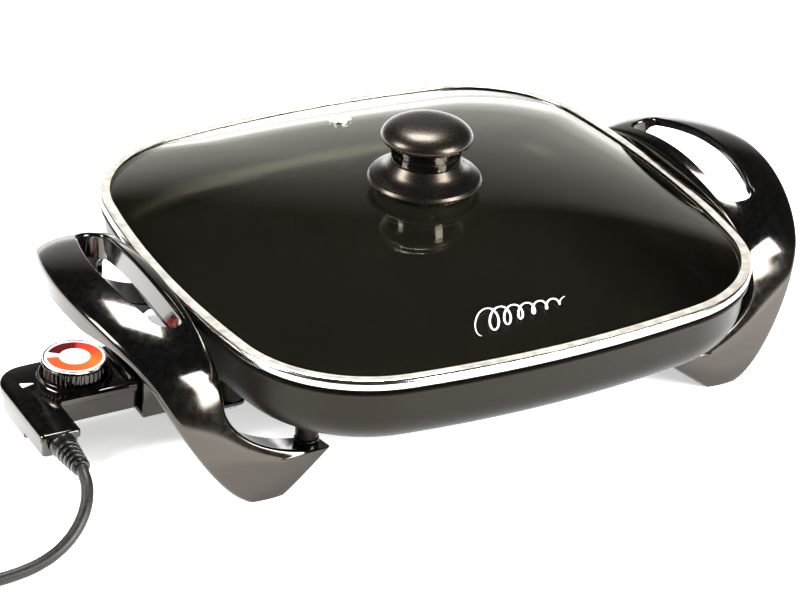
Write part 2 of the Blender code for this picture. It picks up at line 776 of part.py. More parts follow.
def make_knob(parent):
    bore = KNOB_BORE
    foot = KNOB_Z
    skirt_top = foot + 16.0
    skirt = [
        (bore, foot),
        (KNOB_FOOT_RADIUS, foot),
        (KNOB_FOOT_RADIUS + 1.0, foot + 3.0),
        (KNOB_SKIRT_RADIUS - 0.6, foot + 4.2),
        (KNOB_SKIRT_RADIUS, foot + 5.2),
        (KNOB_SKIRT_RADIUS - 0.8, foot + 6.4),
        (KNOB_SKIRT_RADIUS - 5.0, foot + 8.6),
        (KNOB_NECK_RADIUS + 3.2, foot + 11.8),
        (KNOB_NECK_RADIUS + 0.8, foot + 14.2),
        (KNOB_NECK_RADIUS, skirt_top),
        (bore, skirt_top),
    ]
    new_object("knob_skirt", turned(skirt, 28), parent, PHENOLIC)
    grip_z = skirt_top + GAP
    cap_z = foot + KNOB_HEIGHT - 11.3
    grip = [
        (0.0, grip_z + 8.0),
        (bore, grip_z + 8.0),
        (bore, grip_z),
        (KNOB_NECK_RADIUS, grip_z),
        (KNOB_NECK_RADIUS + 0.3, grip_z + 4.0),
        (KNOB_NECK_RADIUS + 1.7, cap_z),
        (0.0, cap_z),
    ]
    new_object("knob_grip", turned(grip, 28), parent, PHENOLIC)
    cap = [
        (0.0, cap_z + GAP),
        (KNOB_CAP_RADIUS - 3.6, cap_z + GAP),
        (KNOB_CAP_RADIUS - 0.6, cap_z + 1.2),
        (KNOB_CAP_RADIUS, cap_z + 2.4),
        (KNOB_CAP_RADIUS - 0.6, cap_z + 4.6),
        (KNOB_CAP_RADIUS - 2.2, cap_z + 7.0),
        (KNOB_CAP_RADIUS - 5.6, cap_z + 9.2),
        (KNOB_CAP_RADIUS - 11.1, cap_z + 10.6),
        (0.0, foot + KNOB_HEIGHT),
    ]
    new_object("knob_cap", turned(cap, 28), parent, PHENOLIC)

    glass_under = DOME_TOP_Z - GLASS_THICK
    washer_low = glass_under - GAP - 1.4
    washer = [(bore, washer_low), (9.0, washer_low), (9.0, glass_under - GAP), (bore, glass_under - GAP)]
    new_object("knob_washer", turned(washer, 20), parent, SILICONE)
    make_screw("knob_screw", (0, 0), washer_low, grip_z + 7.0, parent)


# ------------------------------------------------------------------ socket shroud
def make_shroud(parent):
    """The guard round the terminal pins: a box open to the probe, with two screw tabs under the pan."""
    low, high = SHROUD_Z
    half = SHROUD_HALF_WIDTH
    shell = box((-SHROUD_MOUTH, -half, low), (-SHROUD_BACK, half, high), 1.6)
    shroud = new_object("socket_shroud", shell, parent, PHENOLIC)
    tab_y = SHROUD_SCREW[1] + BOSS_RADIUS
    tab = box((-SHROUD_BACK - 3, -tab_y, low + 0.1), (-SHROUD_TAB_INNER, tab_y, low + SHROUD_WALL))
    tab_blank = new_object("shroud_tab", tab, parent, None, cutter=True)
    combine(shroud, tab_blank, "UNION")
    wall = SHROUD_WALL
    mouth = box(
        (-SHROUD_MOUTH - 5, wall - half, low + wall),
        (-SHROUD_BACK - wall, half - wall, high - wall),
    )
    mouth_cutter = new_object("shroud_mouth_cutter", mouth, parent, None, cutter=True)
    combine(shroud, mouth_cutter, "DIFFERENCE")
    for y, radius, label in (
        (PIN_SPACING / 2, BEAD_RADIUS + GAP, "pin_back"),
        (-PIN_SPACING / 2, BEAD_RADIUS + GAP, "pin_front"),
        (0.0, SENSOR_RADIUS + 0.6, "sensor"),
    ):
        hole = moved(rod(radius, -SHROUD_BACK - 8, -SHROUD_BACK + 5, 14, "X"), (0, y, PROBE_Z))
        drill = new_object(f"shroud_{label}_cutter", hole, parent, None, cutter=True)
        combine(shroud, drill, "DIFFERENCE")
    for side, label in ((-1, "front"), (1, "back")):
        place = (-SHROUD_SCREW[0], side * SHROUD_SCREW[1])
        hole = moved(rod(SCREW_RADIUS + GAP, low - 3, low + 8, 10), (*place, 0))
        drill = new_object(f"shroud_screw_cutter_{label}", hole, parent, None, cutter=True)
        combine(shroud, drill, "DIFFERENCE")
        make_screw(f"shroud_screw_{label}", place, low + 0.1, UNDERSIDE_Z - 4, parent)


# ------------------------------------------------------------------ control probe
def housing_outline(inset):
    """The probe's housing from above: an arm to the socket, a round lobe under the dial and a cord leg."""
    arm = ARM_HALF_WIDTH - inset
    far = -PROBE_REACH + inset
    leg_in = -PROBE_REACH + CORD_LEG_WIDTH - inset
    tip = -ARM_END - inset
    front = CORD_LEG_Y + inset
    corners = [
        (tip, -arm, 1.5),
        (tip, arm, 1.5),
        (far, arm, LOBE_RADIUS - inset),
        (far, front, 2.5),
        (leg_in, front, 2.0),
        (leg_in, -arm, 2.0),
    ]
    return rounded_polygon(corners, 4)


def leg_box(inset, low, high):
    far = -PROBE_REACH + inset
    leg_in = -PROBE_REACH + CORD_LEG_WIDTH - inset
    return box((far, CORD_LEG_Y + inset, low), (leg_in, -ARM_HALF_WIDTH - 0.5, high))


def make_housing(parent):
    low, high = HOUSING_Z
    wall = HOUSING_WALL
    edge = 1.6
    outer = [(0.0, PARTING_Z), (0.0, high - edge), (0.5, high - 0.5), (edge, high)]
    rings = [level(housing_outline(inset), z) for inset, z in outer]
    top = new_object("probe_housing_upper", lofted(rings), parent, PHENOLIC)
    collar = turned(
        [
            (0.0, high - 1),
            (DIAL_COLLAR_RADIUS, high - 1),
            (DIAL_COLLAR_RADIUS - 0.6, high + DIAL_COLLAR),
            (0.0, high + DIAL_COLLAR),
        ],
        30,
    )
    collar = moved(collar, (-DIAL_X, 0, 0))
    combine(top, new_object("collar_blank", collar, parent, None, cutter=True), "UNION")
    stop = box(
        (-SHROUD_MOUTH - 5.0, -ARM_HALF_WIDTH + 2.0, high - 1),
        (-SHROUD_MOUTH - 2.0, ARM_HALF_WIDTH - 2.0, high + 2.2),
    )
    combine(top, new_object("finger_stop_blank", stop, parent, None, cutter=True), "UNION")
    rings = [level(housing_outline(wall), z) for z in (PARTING_Z - 1, high - wall)]
    cavity = new_object("upper_cavity", lofted(rings), parent, None, cutter=True)
    combine(top, cavity, "DIFFERENCE")
    shaft_hole = moved(rod(DIAL_SHAFT + 0.4, high - 6, high + 6, 14), (-DIAL_X, 0, 0))
    combine(top, new_object("shaft_cutter", shaft_hole, parent, None, cutter=True), "DIFFERENCE")
    lens_hole = lofted([level(lens_outline(GAP), z) for z in (high - 5, high + 1)])
    combine(top, new_object("lens_cutter", lens_hole, parent, None, cutter=True), "DIFFERENCE")

    seam = PARTING_Z - GAP
    shell = [(LOWER_INSET + 1.2, low), (LOWER_INSET, low + 1.2), (LOWER_INSET, seam)]
    rings = [level(housing_outline(inset), z) for inset, z in shell]
    bottom = new_object("probe_housing_lower", lofted(rings), parent, PHENOLIC)
    trim = box(
        (-PROBE_REACH - 5, CORD_LEG_Y - 5, low - 5),
        (-PROBE_REACH + CORD_LEG_WIDTH + 5, -ARM_HALF_WIDTH - 2.5, CORD_LEG_Z),
    )
    combine(bottom, new_object("leg_trim_cutter", trim, parent, None, cutter=True), "DIFFERENCE")
    inner = LOWER_INSET + wall
    corners = [
        (-ARM_END - inner, -ARM_HALF_WIDTH + inner, 0.5),
        (-ARM_END - inner, ARM_HALF_WIDTH - inner, 0.5),
        (-PROBE_REACH + inner, ARM_HALF_WIDTH - inner, LOBE_RADIUS - inner),
        (-PROBE_REACH + inner, -ARM_HALF_WIDTH + inner, 0.5),
    ]
    cavity = lofted([level(rounded_polygon(corners), z) for z in (low + wall, seam + 1)])
    combine(bottom, new_object("lower_cavity", cavity, parent, None, cutter=True), "DIFFERENCE")
    leg = leg_box(inner, CORD_LEG_Z + wall, seam + 1)
    bmesh.ops.translate(leg, vec=(0, 5.0, 0), verts=[v for v in leg.verts if v.co.y > -ARM_HALF_WIDTH - 1])
    combine(bottom, new_object("leg_cavity", leg, parent, None, cutter=True), "DIFFERENCE")
    for cutter_name, target in (("relief_cutter_upper", top), ("relief_cutter_lower", bottom)):
        hole = rod(RELIEF_NECK + GAP, CORD_LEG_Y - 4, CORD_LEG_Y + 6, 16, "Y")
        hole = moved(hole, (relief_x(), 0, relief_z()))
        combine(target, new_object(cutter_name, hole, parent, None, cutter=True), "DIFFERENCE")
    for y, radius, label in (
        (PIN_SPACING / 2, PIN_RADIUS + 0.8, "back"),
        (-PIN_SPACING / 2, PIN_RADIUS + 0.8, "front"),
        (0.0, SENSOR_RADIUS + GAP, "sensor"),
    ):
        hole = moved(rod(radius, -ARM_END - 8, -ARM_END + 5, 14, "X"), (0, y, PROBE_Z))
        face_hole = new_object(f"face_hole_{label}", hole, parent, None, cutter=True)
        combine(bottom, face_hole, "DIFFERENCE")
        if PROBE_Z + radius > PARTING_Z:
            combine(top, face_hole, "DIFFERENCE")


def relief_x():
    return -PROBE_REACH + CORD_LEG_WIDTH / 2


def relief_z():
    return (CORD_LEG_Z + HOUSING_Z[1]) / 2 + 0.25


def lens_outline(grow):
    """A wedge that points at the dial."""
    tip = -DIAL_X - DIAL_COLLAR_RADIUS - 3.0
    back = tip - 7.5
    return [(tip + 2 * grow, 0.2), (back - grow, 2.8 + grow), (back - grow, -1.6 - grow)][::-1]


def make_probe_pieces(parent):
    """What the probe's housing holds: sensor, contacts, thermostat, lamp and strain relief."""
    sensor = [
        (0.0, -SENSOR_ROOT),
        (SENSOR_RADIUS - 0.6, -SENSOR_ROOT),
        (SENSOR_RADIUS - 0.6, -ARM_END - 4.0),
        (SENSOR_RADIUS, -ARM_END - 4.0),
        (SENSOR_RADIUS, -SENSOR_TIP - 4.0),
        (SENSOR_RADIUS - 1.8, -SENSOR_TIP - 0.6),
        (0.0, -SENSOR_TIP),
    ]
    new_object("sensor_rod", moved(turned(sensor, 16, "X"), (0, 0, PROBE_Z)), parent, STEEL)
    inner = PIN_RADIUS + GAP
    for side, label in ((1, "back"), (-1, "front")):
        start = -PIN_TIP - 3.0
        end = -ARM_END - LOWER_INSET - HOUSING_WALL - GAP
        sleeve = [(inner, start), (inner + CONTACT_WALL, start), (inner + CONTACT_WALL, end), (inner, end)]
        place = (0, side * PIN_SPACING / 2, PROBE_Z)
        new_object(f"contact_sleeve_{label}", moved(turned(sleeve, 14, "X"), place), parent, BRASS)

    base = HOUSING_Z[0] + HOUSING_WALL
    frame_low = base + GAP
    plate = box((-214, -7.5, frame_low), (-162, 7.5, frame_low + 1.2))
    new_object("thermostat_frame", plate, parent, PLATED)
    strip = box((-212, -3.2, frame_low + 2.0), (-188, 3.2, frame_low + 2.9))
    new_object("bimetal_strip", strip, parent, BIMETAL)
    leaf = box((-216, 9.0, frame_low + 2.0), (-186, 13.5, frame_low + 2.7))
    new_object("contact_leaf", leaf, parent, BRASS)
    lens = lofted([level(lens_outline(0.0), z) for z in (HOUSING_Z[1] - HOUSING_WALL, HOUSING_Z[1] + 0.3)])
    new_object("signal_lens", lens, parent, LENS)
    tip = -DIAL_X - DIAL_COLLAR_RADIUS - 6.0
    lamp = moved(rod(1.9, tip - 5.0, tip + 5.0, 10, "X"), (0, 0.4, PARTING_Z - 0.2))
    new_object("signal_lamp", lamp, parent, GLASS)

    y = CORD_LEG_Y
    stop_y = y + HOUSING_WALL + LOWER_INSET + GAP
    relief = [(0.0, stop_y + 3.0), (RELIEF_STOP, stop_y + 3.0), (RELIEF_STOP, stop_y), (RELIEF_NECK, stop_y)]
    relief += [(RELIEF_NECK, y - GAP), (RELIEF_COLLAR, y - GAP), (RELIEF_COLLAR, y - 3.2)]
    ribs = 4
    pitch = (y - 3.2 - RELIEF_END_Y) / ribs
    for k in range(ribs):
        start = y - 3.2 - k * pitch
        radius = 6.2 - 0.28 * k
        relief += [
            (radius - 1.2, start - 0.1),
            (radius - 1.2, start - pitch * 0.35),
            (radius, start - pitch * 0.4),
            (radius, start - pitch * 0.95),
        ]
    relief += [(4.2, RELIEF_END_Y), (0.0, RELIEF_END_Y)]
    relief = moved(turned(relief, 10, "Y"), (relief_x(), 0, relief_z()))
    new_object("strain_relief", relief, parent, CORD)


def make_dial(parent):
    """Pieces that turn together, drawn about the dial's own axis."""
    z = DIAL_Z
    outline = []
    for k in range(2 * KNURLS):
        radius = DIAL_RADIUS - (KNURL_DEPTH if k % 2 else 0.0)
        angle = math.tau * k / (2 * KNURLS)
        outline.append((radius * math.cos(angle), radius * math.sin(angle)))
    shrunk = [(x * 0.965, y * 0.965) for x, y in outline]
    top = z + DIAL_HEIGHT
    rings = [level(shrunk, z), level(outline, z + 0.8), level(outline, top - 0.8), level(shrunk, top)]
    knob = new_object("dial_knob", lofted(rings), parent, PHENOLIC)
    bore = rod(DIAL_SHAFT + GAP, z - 3, z + 4, 14)
    combine(knob, new_object("dial_bore_cutter", bore, parent, None, cutter=True), "DIFFERENCE")
    face_z = top + GAP
    new_object("dial_face", rod(DIAL_FACE_RADIUS, face_z, face_z + DIAL_FACE, 36), parent, PRINT)
    inner = DIAL_FACE_RADIUS + GAP
    outer = inner + 0.9
    ring_top = face_z + DIAL_FACE + 0.2
    ring = [(inner, face_z), (outer, face_z), (outer - 0.2, ring_top), (inner, ring_top)]
    new_object("dial_trim_ring", turned(ring, 36), parent, STEEL)
    shaft_low = HOUSING_Z[0] + HOUSING_WALL + 5.0
    new_object("dial_shaft", rod(DIAL_SHAFT, shaft_low, z + 4 - GAP, 14), parent, BRASS)


def make_housing_screws(parent):
    """Two screws from below hold the housing's halves together."""
    for place, label in (((-228.0, 9.0), "back"), ((-217.0, -13.0), "front")):
        seat = HOUSING_Z[0] + 1.6
        lower = bpy.data.objects["probe_housing_lower"]
        upper = bpy.data.objects["probe_housing_upper"]
        roof = HOUSING_Z[1] - HOUSING_WALL / 2
        post = moved(rod(3.6, PARTING_Z - 5.0, roof, 14), (*place, 0))
        combine(upper, new_object(f"post_blank_{label}", post, parent, None, cutter=True), "UNION")
        socket = moved(rod(1.8, PARTING_Z - 8, roof - 1.5, 10), (*place, 0))
        post_cutter = new_object(f"post_cutter_{label}", socket, parent, None, cutter=True)
        combine(upper, post_cutter, "DIFFERENCE")
        seat_hole = moved(rod(1.8, HOUSING_Z[0] - 3, seat + 4, 10), (*place, 0))
        screw_hole = new_object(f"screw_hole_{label}", seat_hole, parent, None, cutter=True)
        combine(lower, screw_hole, "DIFFERENCE")
        head_z = HOUSING_Z[0] - 1.6
        neck_z = HOUSING_Z[0] - GAP
        profile = [(0.0, head_z), (2.6, head_z), (3.0, neck_z), (1.5, neck_z)]
        profile += [(1.5, roof - 2.5), (0.0, roof - 2.0)]
        new_object(f"housing_screw_{label}", moved(turned(profile, 12), (*place, 0)), parent, PLATED)


# ------------------------------------------------------------------ mains lead
def catmull_rom(p, q, r, s, t):
    bend = (2 * p - 5 * q + 4 * r - s) * t * t
    return 0.5 * (2 * q + (r - p) * t + bend + (3 * q - p - 3 * r + s) * t**3)


def smooth_route(points, steps):
    """A Catmull-Rom curve through the points."""
    padded = [points[0], *points, points[-1]]
    made = []
    for a, b, c, d in zip(padded, padded[1:], padded[2:], padded[3:]):
        for k in range(steps):
            t = k / steps
            made.append(tuple(catmull_rom(*four, t) for four in zip(a, b, c, d)))
    made.append(points[-1])
    return made


def tube(name, points, parent):
    data = bpy.data.curves.new(name, "CURVE")
    data.dimensions = "3D"
    data.bevel_depth = CORD_DIAMETER / 2 * MM
    data.bevel_resolution = 2
    data.use_fill_caps = True
    spline = data.splines.new("POLY")
    spline.points.add(len(points) - 1)
    for slot, point in zip(spline.points, points):
        slot.co = (*(Vector(point) * MM), 1.0)
    data.materials.append(CORD)
    made = bpy.data.objects.new(name, data)
    bpy.context.scene.collection.objects.link(made)
    made.parent = parent
    return made


def make_cord(parent):
    tube("cord_run", smooth_route(CORD_ROUTE, CORD_STEPS)[::2], parent)
    half_wide = COIL_SECTION[0] / 2
    high = COIL_SECTION[1]
    section = rounded_polygon(
        [
            (COIL_RADIUS - half_wide, 0.0, 3.0),
            (COIL_RADIUS + half_wide, 0.0, 3.0),
            (COIL_RADIUS + half_wide, high, 3.0),
            (COIL_RADIUS - half_wide, high, 3.0),
        ],
        1,
    )
    coil = moved(turned(section, 28), (*COIL_CENTRE, 0.0))
    new_object("cord_coil", coil, parent, CORD)

    tail_x = COIL_CENTRE[0] - COIL_RADIUS
    coil_edge = math.sqrt((COIL_RADIUS + half_wide + GAP) ** 2 - (COIL_RADIUS - CORD_DIAMETER / 2) ** 2)
    start_y = COIL_CENTRE[1] + coil_edge
    plug_z = PLUG_SIZE[2] / 2
    lie_z = COIL_SECTION[1] - CORD_DIAMETER / 2 - 0.6
    tail = [(tail_x, start_y + TAIL_LENGTH * k / 5, blend(lie_z, plug_z, k / 5)) for k in range(6)]
    tube("cord_tail", tail, parent)

    boot_y = start_y + TAIL_LENGTH + GAP
    body_y = boot_y + PLUG_BOOT
    wide, long, tall = PLUG_SIZE
    rings = []
    for y, half_x, half_z in (
        (boot_y, 4.6, 4.6),
        (body_y - 1.0, 6.2, 5.8),
        (body_y + 3.0, wide / 2 - 1.5, tall / 2 - 1.0),
        (body_y + 8.0, wide / 2, tall / 2),
        (body_y + long - 2.0, wide / 2, tall / 2),
        (body_y + long, wide / 2 - 1.0, tall / 2 - 1.0),
    ):
        angles = [math.tau * k / 20 for k in range(20)]
        ring = []
        for angle in angles:
            c, s = math.cos(angle), math.sin(angle)
            x = math.copysign(abs(c) ** 0.6, c) * half_x
            z = math.copysign(abs(s) ** 0.6, s) * half_z
            ring.append((tail_x + x, y, plug_z + z))
        rings.append(ring)
    new_object("plug_body", lofted(rings), parent, CORD)
    thick, length, height = BLADE_SIZE
    blade_y = body_y + long + GAP
    for side, label in ((-1, "outer"), (1, "inner")):
        x = tail_x + side * BLADE_SPACING / 2
        low = (x - thick / 2, blade_y, plug_z - height / 2)
        blade = box(low, (x + thick / 2, blade_y + length, plug_z + height / 2))
        new_object(f"plug_blade_{label}", blade, parent, BRASS)


# ------------------------------------------------------------------ assembly
pan_centre = empty("pan_centre", (PAN_X, 0, 0))
probe_axis = empty("probe_axis", (0, 0, 0), pan_centre)
dial_axis = empty("dial_axis", (-DIAL_X, 0, 0), probe_axis)
lid_axis = empty("lid_axis", (0, 0, 0), pan_centre)

make_pan(pan_centre)
make_element(pan_centre)
make_shroud(pan_centre)
for wing_name, wing_side in (("handle_left", -1), ("handle_right", 1)):
    make_wing(wing_name, wing_side, pan_centre)
make_lid(lid_axis)
make_housing(probe_axis)
make_housing_screws(probe_axis)
make_probe_pieces(probe_axis)
make_dial(dial_axis)
make_cord(probe_axis)
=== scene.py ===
"""Electric skillet, finished: glossy winged handles, a cast pan, a steel-banded glass lid and a plug-in probe.

Lengths are written in millimetres in the skillet's own plan, whose middle lies PAN_X from the frame's origin.
scaled() turns them into metres in the frame.
"""

import math

import bpy
from mathutils import Matrix, Vector
from mathutils.geometry import interpolate_bezier


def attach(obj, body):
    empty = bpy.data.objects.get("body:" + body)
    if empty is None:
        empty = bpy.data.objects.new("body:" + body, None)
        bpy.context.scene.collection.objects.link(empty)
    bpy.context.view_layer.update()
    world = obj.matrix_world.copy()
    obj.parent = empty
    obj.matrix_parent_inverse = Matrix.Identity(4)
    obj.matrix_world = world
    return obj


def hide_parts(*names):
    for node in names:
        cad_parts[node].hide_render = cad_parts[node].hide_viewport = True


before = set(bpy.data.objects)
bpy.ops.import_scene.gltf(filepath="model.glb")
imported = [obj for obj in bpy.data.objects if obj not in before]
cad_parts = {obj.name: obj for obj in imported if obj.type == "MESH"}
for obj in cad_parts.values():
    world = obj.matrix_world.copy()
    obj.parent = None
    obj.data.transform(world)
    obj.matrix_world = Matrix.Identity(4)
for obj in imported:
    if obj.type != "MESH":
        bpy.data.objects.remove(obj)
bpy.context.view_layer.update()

MM = 0.001
PAN_X = 14.75
GAP = 0.3

# Plan of the lid and the pan.
LID_HALF_X = 156.0
LID_HALF_Y = 150.5
SIDE_BOW_RADIUS = 585.0
CORNER_RADIUS = 76.6
SIDE_STEPS = 22
CORNER_STEPS = 18

# Pan.
UNDERSIDE_Z = 41.0
PAN_FLOOR = 4.5
PAN_TOP_Z = 77.3
FLANGE_Z = 73.6
FLANGE_THICK = 1.7
WALL_INSET = 2.6
WALL_TAPER = 1.1
LIP_INSET = 4.4
PAN_WALL = 3.6
OUTER_FILLET = 20.0
INNER_FILLET = 14.0
ELEMENT_HALF = 80.0
ELEMENT_BEND = 30.0
PIN_SPACING = 21.0
RIB_TOP_Z = UNDERSIDE_Z + 1.0
SCREW_BORE = 2.4
SENSOR_BORE = 4.4
BOSS_RADIUS = 6.0
RIB_END = 98.0
RIB_FOOT_Z = 32.0

# Lid.
GLASS_THICK = 3.6
BAND_WALL = 0.8
BAND_WIDTH = 6.0
BAND_Z = PAN_TOP_Z + GAP
BAND_TOP_Z = BAND_Z + GLASS_THICK + 2 * (BAND_WALL + GAP)
GLASS_EDGE_Z = BAND_Z + BAND_WALL + GAP
GLASS_INSET = BAND_WALL + GAP
DOME_HEIGHT = 21.0
DOME_POWER = 2.5
DOME_TOP_Z = GLASS_EDGE_Z + GLASS_THICK + DOME_HEIGHT
VENT_X = 3.0
VENT_SHARE = 0.69
KNOB_Z = DOME_TOP_Z + GAP

# White loops on the glass.
ORNAMENT_START = (-33.0, -119.5)
ORNAMENT_LENGTH = 50.0
ORNAMENT_LOOPS = 6.5

# Winged handles.
WING_WALL = 3.6
WING_EDGE_ROUND = 2.2
WING_REACH = 211.0
WING_TOP_Z = 88.5
WING_INNER = 157.4
SHOULDER = (191.5, 80.5, 64.1)
FOOT_OUTER = 148.0
FOOT_INNER = 127.5
FOOT_Y = 97.0
TUCK_START_Z = 52.0
TUCK_TIP = (101.5, 20.0)
GRIP_CROWN = 4.8
LEG_CROWN = 1.2
SLOT_HALF_LENGTH = 52.5
SLOT_OUTER = 188.0
SLOT_OUTER_RADIUS = 128.0
SLOT_INNER = 166.0
SLOT_INNER_RADIUS = 500.0
SLOT_DEPTH = 11.0
LEG_SCREW = (110.0, 84.0)
LEG_PAD_Z = (15.4, 22.4)
PAD_RADIUS = 6.5
SHROUD_SCREW = (125.0, 27.0)
GRIP_LIP = 11.0
LEG_LIP = 3.6
GRIP_WEB = 13.0
LEG_WEB = 20.0
FOOT_WEB = 6.0
WING_COLUMNS = 30

# Control probe.
PROBE_Z = 27.0
SHROUD_MOUTH = 174.0
SHROUD_BACK = 143.0
SHROUD_HALF_WIDTH = 25.0
SHROUD_Z = (15.0, 38.0)
ARM_HALF_WIDTH = 20.5
ARM_END = 148.0
PROBE_REACH = 240.5
HOUSING_Z = (19.0, 35.0)
PARTING_Z = 30.3
LOBE_RADIUS = 17.0
CORD_LEG_WIDTH = 21.5
CORD_LEG_Y = -49.7
CORD_LEG_Z = 22.5
LOWER_INSET = 1.2
DIAL_X = 201.6
DIAL_RADIUS = 17.5
DIAL_FACE_RADIUS = 15.6
DIAL_COLLAR_RADIUS = 19.0
DIAL_Z = HOUSING_Z[1] + 2.4 + GAP
DIAL_HEIGHT = 7.0
KNURLS = 40
KNURL_DEPTH = 0.55
RELIEF_X = -PROBE_REACH + CORD_LEG_WIDTH / 2
RELIEF_Z = 29.0
RELIEF_END_Y = -75.0

# Mains lead.
CORD_DIAMETER = 6.4
CORD_ROUTE = (
    (-229.9, -75.3, 29.0), (-230.9, -80.0, 28.6), (-232.0, -86.0, 27.0), (-234.6, -92.5, 23.9), (-238.8, -98.5, 19.8),
    (-244.8, -103.6, 15.2), (-252.4, -107.5, 10.8), (-261.6, -110.2, 7.2), (-272.0, -111.6, 4.8),
    (-283.0, -112.1, 3.7), (-294.0, -112.0, 3.3), (-305.0, -111.6, 3.3), (-316.4, -111.3, 3.3),
)
COIL_CENTRE = (-345.0, -75.0)
COIL_OUTER_TURN = 39.3
COIL_INNER_TURN = 32.7
TAIL_RADIUS = 36.0
TAIL_X = COIL_CENTRE[0] - TAIL_RADIUS
TAIL_START_Y = -47.3
TAIL_LENGTH = 20.0
PLUG_Z = 8.5


# ------------------------------------------------------------------ finishes
def linear(hex_colour):
    """An sRGB hex colour as linear RGBA."""
    parts = [int(hex_colour[i : i + 2], 16) / 255 for i in (1, 3, 5)]
    return tuple(c / 12.92 if c <= 0.04045 else ((c + 0.055) / 1.055) ** 2.4 for c in parts) + (1.0,)


def node(tree, kind, sockets=None, **settings):
    """Adds a node, sets it up and links or fills its sockets."""
    made = tree.nodes.new(kind)
    for name, value in settings.items():
        setattr(made, name, value)
    for name, value in (sockets or {}).items():
        if isinstance(value, bpy.types.NodeSocket):
            tree.links.new(value, made.inputs[name])
        else:
            made.inputs[name].default_value = value
    return made


def maths(tree, operation, a, b):
    return node(tree, "ShaderNodeMath", {0: a, 1: b}, operation=operation).outputs["Value"]


def ramp(tree, source, stops):
    made = node(tree, "ShaderNodeValToRGB", {"Fac": source})
    for i, (place, colour) in enumerate(stops):
        element = made.color_ramp.elements[i] if i < 2 else made.color_ramp.elements.new(place)
        element.position = place
        element.color = colour if isinstance(colour, tuple) else (colour, colour, colour, 1.0)
    return made.outputs["Color"]


def finish(name, colour, roughness, metallic=0.0, **more):
    """A Principled finish. Its constants sit on the shader's own sockets."""
    made = bpy.data.materials.new(name)
    made.use_nodes = True
    tree = made.node_tree
    shader = tree.nodes["Principled BSDF"]
    shader.inputs["Base Color"].default_value = linear(colour)
    shader.inputs["Roughness"].default_value = roughness
    shader.inputs["Metallic"].default_value = metallic
    for socket, value in more.items():
        shader.inputs[socket.replace("_", " ")].default_value = value
    made.diffuse_color = linear(colour)
    return made, tree, shader


def grain(tree, size_mm, detail=3.0, stretch=(1, 1, 1)):
    """Noise on Object coordinates whose blobs are about size_mm across."""
    coords = node(tree, "ShaderNodeTexCoord").outputs["Object"]
    mapped = node(tree, "ShaderNodeMapping", {"Vector": coords, "Scale": stretch}).outputs["Vector"]
    noise = node(tree, "ShaderNodeTexNoise", {"Vector": mapped, "Scale": 1 / (size_mm * MM), "Detail": detail})
    return noise.outputs["Fac"]


def vary(tree, shader, socket, source, low, high):
    """Links a noise to a socket, between two values."""
    spread = node(tree, "ShaderNodeMapRange", {"Value": source, "From Min": 0.3, "From Max": 0.7})
    spread.inputs["To Min"].default_value = low
    spread.inputs["To Max"].default_value = high
    tree.links.new(spread.outputs["Result"], shader.inputs[socket])


def tint(tree, shader, source, dark, light):
    colour = ramp(tree, source, [(0.35, linear(dark)), (0.65, linear(light))])
    tree.links.new(colour, shader.inputs["Base Color"])


def bumped(tree, shader, source, depth_mm, strength=1.0):
    bump = node(tree, "ShaderNodeBump", {"Height": source, "Distance": depth_mm * MM, "Strength": strength})
    tree.links.new(bump.outputs["Normal"], shader.inputs["Normal"])


def grained(name, colour, roughness, metallic, size_mm, dark, light, spread=None, bump=None, detail=3.0, **more):
    """A finish whose colour, and roughness and relief where given, follow one fine noise."""
    stretch = more.pop("stretch", (1, 1, 1))
    made, tree, shader = finish(name, colour, roughness, metallic, **more)
    noise = grain(tree, size_mm, detail, stretch)
    tint(tree, shader, noise, dark, light)
    if spread:
        vary(tree, shader, "Roughness", noise, *spread)
    if bump:
        bumped(tree, shader, noise, *bump)
    return made


def make_coated_aluminium():
    """Die-cast aluminium under a sprayed and baked non-stick coat: satin, warm dark grey, with a fine orange peel."""
    more = {"Specular_IOR_Level": 0.13, "Specular_Tint": linear("#fff2dc")}
    made, tree, shader = finish("coated_cast_aluminium", "#14120f", 0.34, 0.0, **more)
    peel = grain(tree, 1.6)
    tint(tree, shader, grain(tree, 0.7, 1.0), "#110f0d", "#181511")
    vary(tree, shader, "Roughness", peel, 0.3, 0.4)
    bumped(tree, shader, peel, 0.02, 0.5)
    return made


def make_gloss_phenolic():
    """Compression-moulded phenolic, polished by its mould: a deep wet black with the faintest flow waves."""
    more = {"IOR": 1.6, "Specular_Tint": linear("#fff2e4")}
    made, tree, shader = finish("black_phenolic", "#040404", 0.1, 0.0, **more)
    wear = grain(tree, 3.0, 4.0)
    tint(tree, shader, wear, "#030303", "#060606")
    vary(tree, shader, "Roughness", wear, 0.08, 0.14)
    bumped(tree, shader, grain(tree, 22.0, 1.0), 0.12, 0.25)
    return made


def make_tempered_glass():
    """Float glass, bent and tempered: clear with a slight green, smooth, with the odd wipe mark in its shine."""
    more = {"IOR": 1.52, "Transmission_Weight": 1.0, "Specular_Tint": linear("#fff6e2")}
    made, tree, shader = finish("tempered_glass", "#ecefe2", 0.0, 0.0, **more)
    vary(tree, shader, "Roughness", grain(tree, 40.0, 2.0), 0.0, 0.025)
    return made


HEAT_RING = (8.0, 14.4)
HEAT_SPAN = (0.03, 0.97)
DIAL_GAP_TURN = 30.0
HEAT_COLOURS = (
    (0.0, "#e2502c"), (0.2, "#e8562a"), (0.45, "#f2641f"), (0.58, "#ea4120"), (0.74, "#d8241b"), (0.77, "#5c0d10"),
    (1.0, "#4a0a0d"),
)


